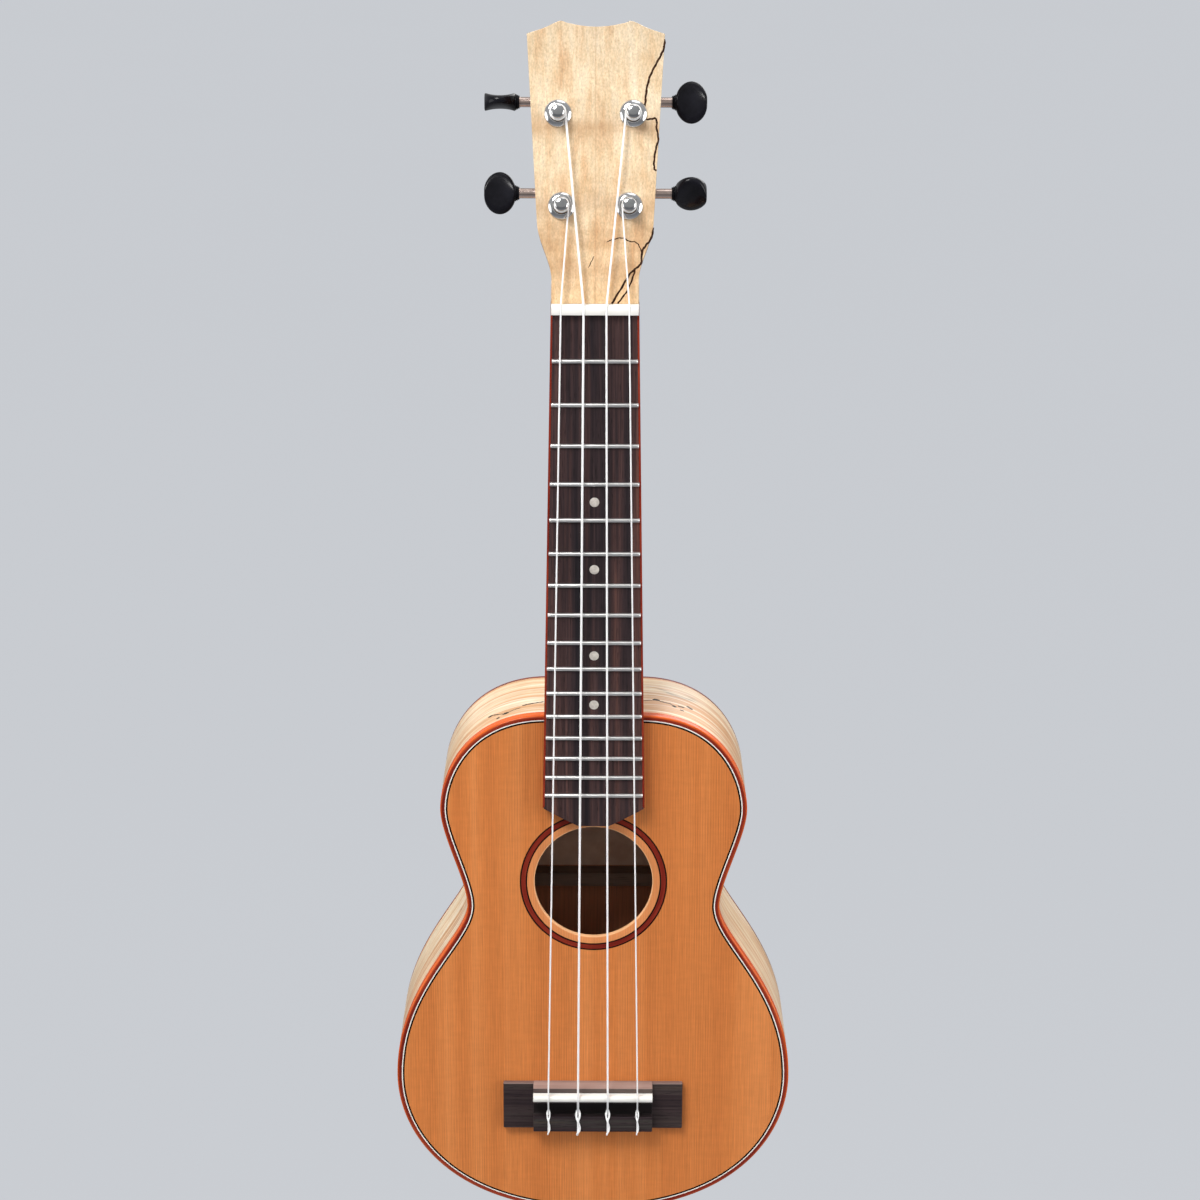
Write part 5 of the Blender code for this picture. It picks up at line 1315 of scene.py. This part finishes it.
def rounded_box(x0, x1, y0, y1, corner, steps):
    outline = []
    for x, y, start in (
        (x1 - corner, y1 - corner, 0),
        (x0 + corner, y1 - corner, 90),
        (x0 + corner, y0 + corner, 180),
        (x1 - corner, y0 + corner, 270),
    ):
        outline += [(x + corner * c, y + corner * s) for c, s in arc(steps, start, start + 90)]
    return outline


def make_plate(name, side, half, length, material):
    """Base plate with two ears that carry the worm, and its two screws."""
    x = side * half
    edge = EAR_END + 0.4
    middle = length + WORM_OFFSET
    outline = rounded_box(x - edge, x + edge, length - 8.0, middle + 6.6, 2.0, 6)
    base = prism(outline, PLATE_FRONT + CLEAR, PLATE_BACK, head_spot)
    plate = make(f"tuner_base_{name}", base, material, "chrome", (f"tuner_plate_{name}",),
                 angle=30)
    eased(plate, 0.25, 3, 50)
    foot = PLATE_BACK - 0.1
    arch = [(middle - EAR_HALF * c, WORM_DEPTH + EAR_HALF * s) for c, s in arc(12, 0, 180)]
    section = [(middle - EAR_HALF, foot), *arch, (middle + EAR_HALF, foot)]
    for way, word in ((-side, "in"), (side, "out"))[::side]:
        shape = swept(section, (x + way * EAR_INSIDE, x + way * EAR_END), head_spot)
        ear = make(f"tuner_ear_{name}_{word}", shape, material, "chrome", angle=30)
        eased(ear, 0.2, 3, 50)
    for place, word in ((length - 5.4, "low"), (middle + 4.6, "high")):
        make_screw(f"tuner_screw_{name}_{word}", head_spot(x, place, PLATE_BACK), material)


def make_screw(name, centre, material):
    """A domed head with a cross recess pressed into it."""
    rings = []
    for share, height in ((1.0, 0.0), (1.0, 0.25), (0.93, 0.5), (0.75, 0.78), (0.55, 0.93),
                          (0.36, 1.0), (0.2, 1.03), (0.06, 1.04)):
        section = []
        for c, s in arc(48):
            near = min(abs(math.remainder(math.atan2(s, c), math.pi / 2)) * share, 1)
            recess = 0.65 * max(0.0, 1 - (near / 0.16) ** 4) if share < 0.6 else 0.0
            across = (ACROSS * c + HEAD_UP * s) * SCREW_RADIUS * share
            section.append(centre + (across + HEAD_IN * (height * 0.9 - recess)) * MM)
        rings.append(section)
    make(name, skin(rings), material, angle=40)


def make_tuners():
    chrome = metal("chrome_plate", (0.62, 0.63, 0.64), (0.72, 0.73, 0.75), (0.08, 0.15), 0.06)
    # Painted reflection: the caps' chrome is darker than the ferrules', standing for the dark
    # surroundings they mirror.
    dim_chrome = metal("cap_chrome", (0.48, 0.49, 0.5), (0.58, 0.59, 0.6), (0.1, 0.18), 0.06)
    bronze = metal("shaft_bronze", (0.52, 0.4, 0.35), (0.66, 0.54, 0.49), (0.14, 0.24))
    brass = metal("gear_brass", (0.55, 0.36, 0.13), (0.68, 0.48, 0.2), (0.22, 0.36))
    black = smooth_stuff("knob_plastic", (0.005, 0.005, 0.007), (0.010, 0.010, 0.014), 160,
                         (0.14, 0.26), 0.008, coat=0.08, gloss=0.12)
    for name, (side, half, length, turn) in TUNERS.items():
        make_bushing(name, side * half, length, chrome)
        make_post(name, side * half, length, dim_chrome, brass)
        make_worm(name, side, half, length, bronze)
        make_button(name, side, length, turn, black)
        make_plate(name, side, half, length, chrome)


# Frame nodes that stay, floor, light and camera


def dress_frame():
    """New materials for the CAD nodes that stay in sight."""
    spruce = ((0.42, 0.26, 0.12), (0.52, 0.34, 0.17), (0.6, 0.42, 0.23))
    mahogany = ((0.14, 0.05, 0.025), (0.2, 0.08, 0.04), (0.26, 0.11, 0.06))
    # The back brace gets a brown darker than spruce: partly painted shade, for the shade it lies in
    # inside the body.
    brown = ((0.14, 0.09, 0.065), (0.2, 0.13, 0.095), (0.27, 0.18, 0.13))
    for name, along, tones, nodes in (
        ("brace_spruce", "x", spruce, ("upper_brace", "lower_brace")),
        ("lining_spruce", "z", spruce, ("top_lining", "back_lining")),
        ("block_mahogany", "x", mahogany, ("neck_block", "tail_block")),
        ("brace_brown_shade", "x", brown, ("back_brace",)),
    ):
        material = plain_wood(name, along, tones, 0.6)
        for node in nodes:
            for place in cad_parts[node].material_slots:
                place.material = material


def make_floor():
    """A wide pale floor, whose own colour the camera mostly sees."""
    mesh = bpy.data.meshes.new("floor")
    work = bmesh.new()
    bmesh.ops.create_grid(work, x_segments=8, y_segments=8, size=FLOOR_HALF)
    bmesh.ops.translate(work, verts=work.verts, vec=(0, 0, FLOOR_LEVEL))
    work.to_mesh(mesh)
    work.free()
    floor = bpy.data.objects.new("floor", mesh)
    bpy.context.scene.collection.objects.link(floor)
    look = Look("floor_paint", 0.9)
    soft = look.noise(look.grain(), (0.6, 0.6, 0.6), 2.0)
    look.set({"Base Color": look.ramp(soft, (0.3, (0.31, 0.32, 0.34)), (0.7, (0.35, 0.36, 0.38)))})
    plain = look.add("Emission", {"Color": (*BACKGROUND, 1), "Strength": 1.0})
    share = look.times(look.add("LightPath", {}).outputs["Is Camera Ray"], 0.85)
    blend = look.add("MixShader", {0: share, 1: look.shader.outputs[0], 2: plain.outputs[0]})
    look.put(look.tree.nodes["Material Output"].inputs["Surface"], blend.outputs[0])
    mesh.materials.append(look.material)


class WorldLook(Look):
    """The same calls on the world's nodes."""

    def __init__(self, world):
        world.use_nodes = True
        self.tree = world.node_tree
        self.shader = self.tree.nodes["Background"]


def light_scene():
    """A dim sky for reflections, a plain horizon for the camera, and five soft lamps."""
    world = bpy.data.worlds.new("studio")
    bpy.context.scene.world = world
    look = WorldLook(world)
    _, y, z = look.split(look.add("TexCoord", {}).outputs["Generated"])
    sky = look.ramp(look.between(z, 0.5, 1.0), (0.0, 0.42), (0.5, 0.5), (1.0, 0.62))
    sky = look.shade(sky, look.between(y, 0.5, 1.0), (0.05, 0.22), (0.35, 0.4), (0.6, 1.0))
    seen = look.add("LightPath", {}).outputs["Is Camera Ray"]
    look.set({"Color": look.mix(seen, sky, HORIZON), "Strength": 1.0})
    for name, place, size, power, colour in LAMPS:
        data = bpy.data.lights.new(name, "AREA")
        data.shape = "DISK"
        data.size = size
        data.energy = power
        data.color = colour
        lamp = bpy.data.objects.new(name, data)
        lamp.location = place
        lamp.rotation_euler = (LAMP_AIM - Vector(place)).to_track_quat("-Z", "Y").to_euler()
        bpy.context.scene.collection.objects.link(lamp)


def place_camera():
    """The photograph's camera: it looks down, since the instrument leans back."""
    data = bpy.data.cameras.new("camera")
    data.sensor_width = 36.0
    data.lens = CAMERA_LENS
    data.clip_end = 200.0
    camera = bpy.data.objects.new("camera", data)
    dip = Matrix.Rotation(math.pi / 2 - CAMERA_DIP, 4, "X")
    turn = dip @ Matrix.Rotation(CAMERA_ROLL, 4, "Z")
    camera.matrix_world = Matrix.Translation(CAMERA_PLACE) @ turn
    bpy.context.scene.collection.objects.link(camera)
    bpy.context.scene.camera = camera
    bpy.context.scene.view_settings.view_transform = "Standard"


def main():
    place_camera()
    light_scene()
    make_floor()
    make_body()
    make_fretboard(rosewood("fretboard_rosewood", "z"))
    make_edging(red_wood("red_board_edge", "z"))
    make_frets(metal("fret_metal", (0.74, 0.74, 0.73), (0.84, 0.84, 0.83), (0.3, 0.36), 0.04))
    make_dots(smooth_stuff("pearl", (0.50, 0.46, 0.42), (0.64, 0.60, 0.55), 700, (0.2, 0.3),
                           coat=0.4))
    bone = smooth_stuff("bone", (0.86, 0.85, 0.80), (0.91, 0.905, 0.87), 90, (0.28, 0.4),
                        coat=0.2)
    make_nut(bone)
    make_bridge(
        rosewood("bridge_rosewood", "x", (5.2, 0, 1.4), 0.6,
                 paler=((0.030, 1.0), (0.036, 0.2), (0.13, 0.2), (0.14, 0.0)),
                 darker=((0.35, 0.0), (0.37, 0.7), (0.655, 0.7), (0.662, 0.0))),
        rosewood("wing_rosewood", "x", (2.2, 0, 7.4), 0.7, paler=((0.018, 0.7), (0.026, 0.0))),
    )
    make_saddle(bone)
    make_strings(smooth_stuff("nylon", (0.9, 0.9, 0.9), (0.95, 0.95, 0.96), 300, (0.25, 0.36),
                              coat=0.2))
    mahogany = ((0.17, 0.06, 0.03), (0.25, 0.095, 0.045), (0.33, 0.14, 0.07))
    make_neck(plain_wood("neck_mahogany", "z", mahogany, 0.42, 0.25))
    make_headplate(
        maple("head_maple", "z", 0.0, ((0.90, 0.77, 0.58), (0.85, 0.67, 0.45), (0.72, 0.47, 0.27))),
        smooth_stuff("zone_brown", (0.02, 0.008, 0.004), (0.05, 0.02, 0.01), 500, (0.35, 0.5),
                     gloss=0.1),
    )
    make_tuners()
    dress_frame()


main()
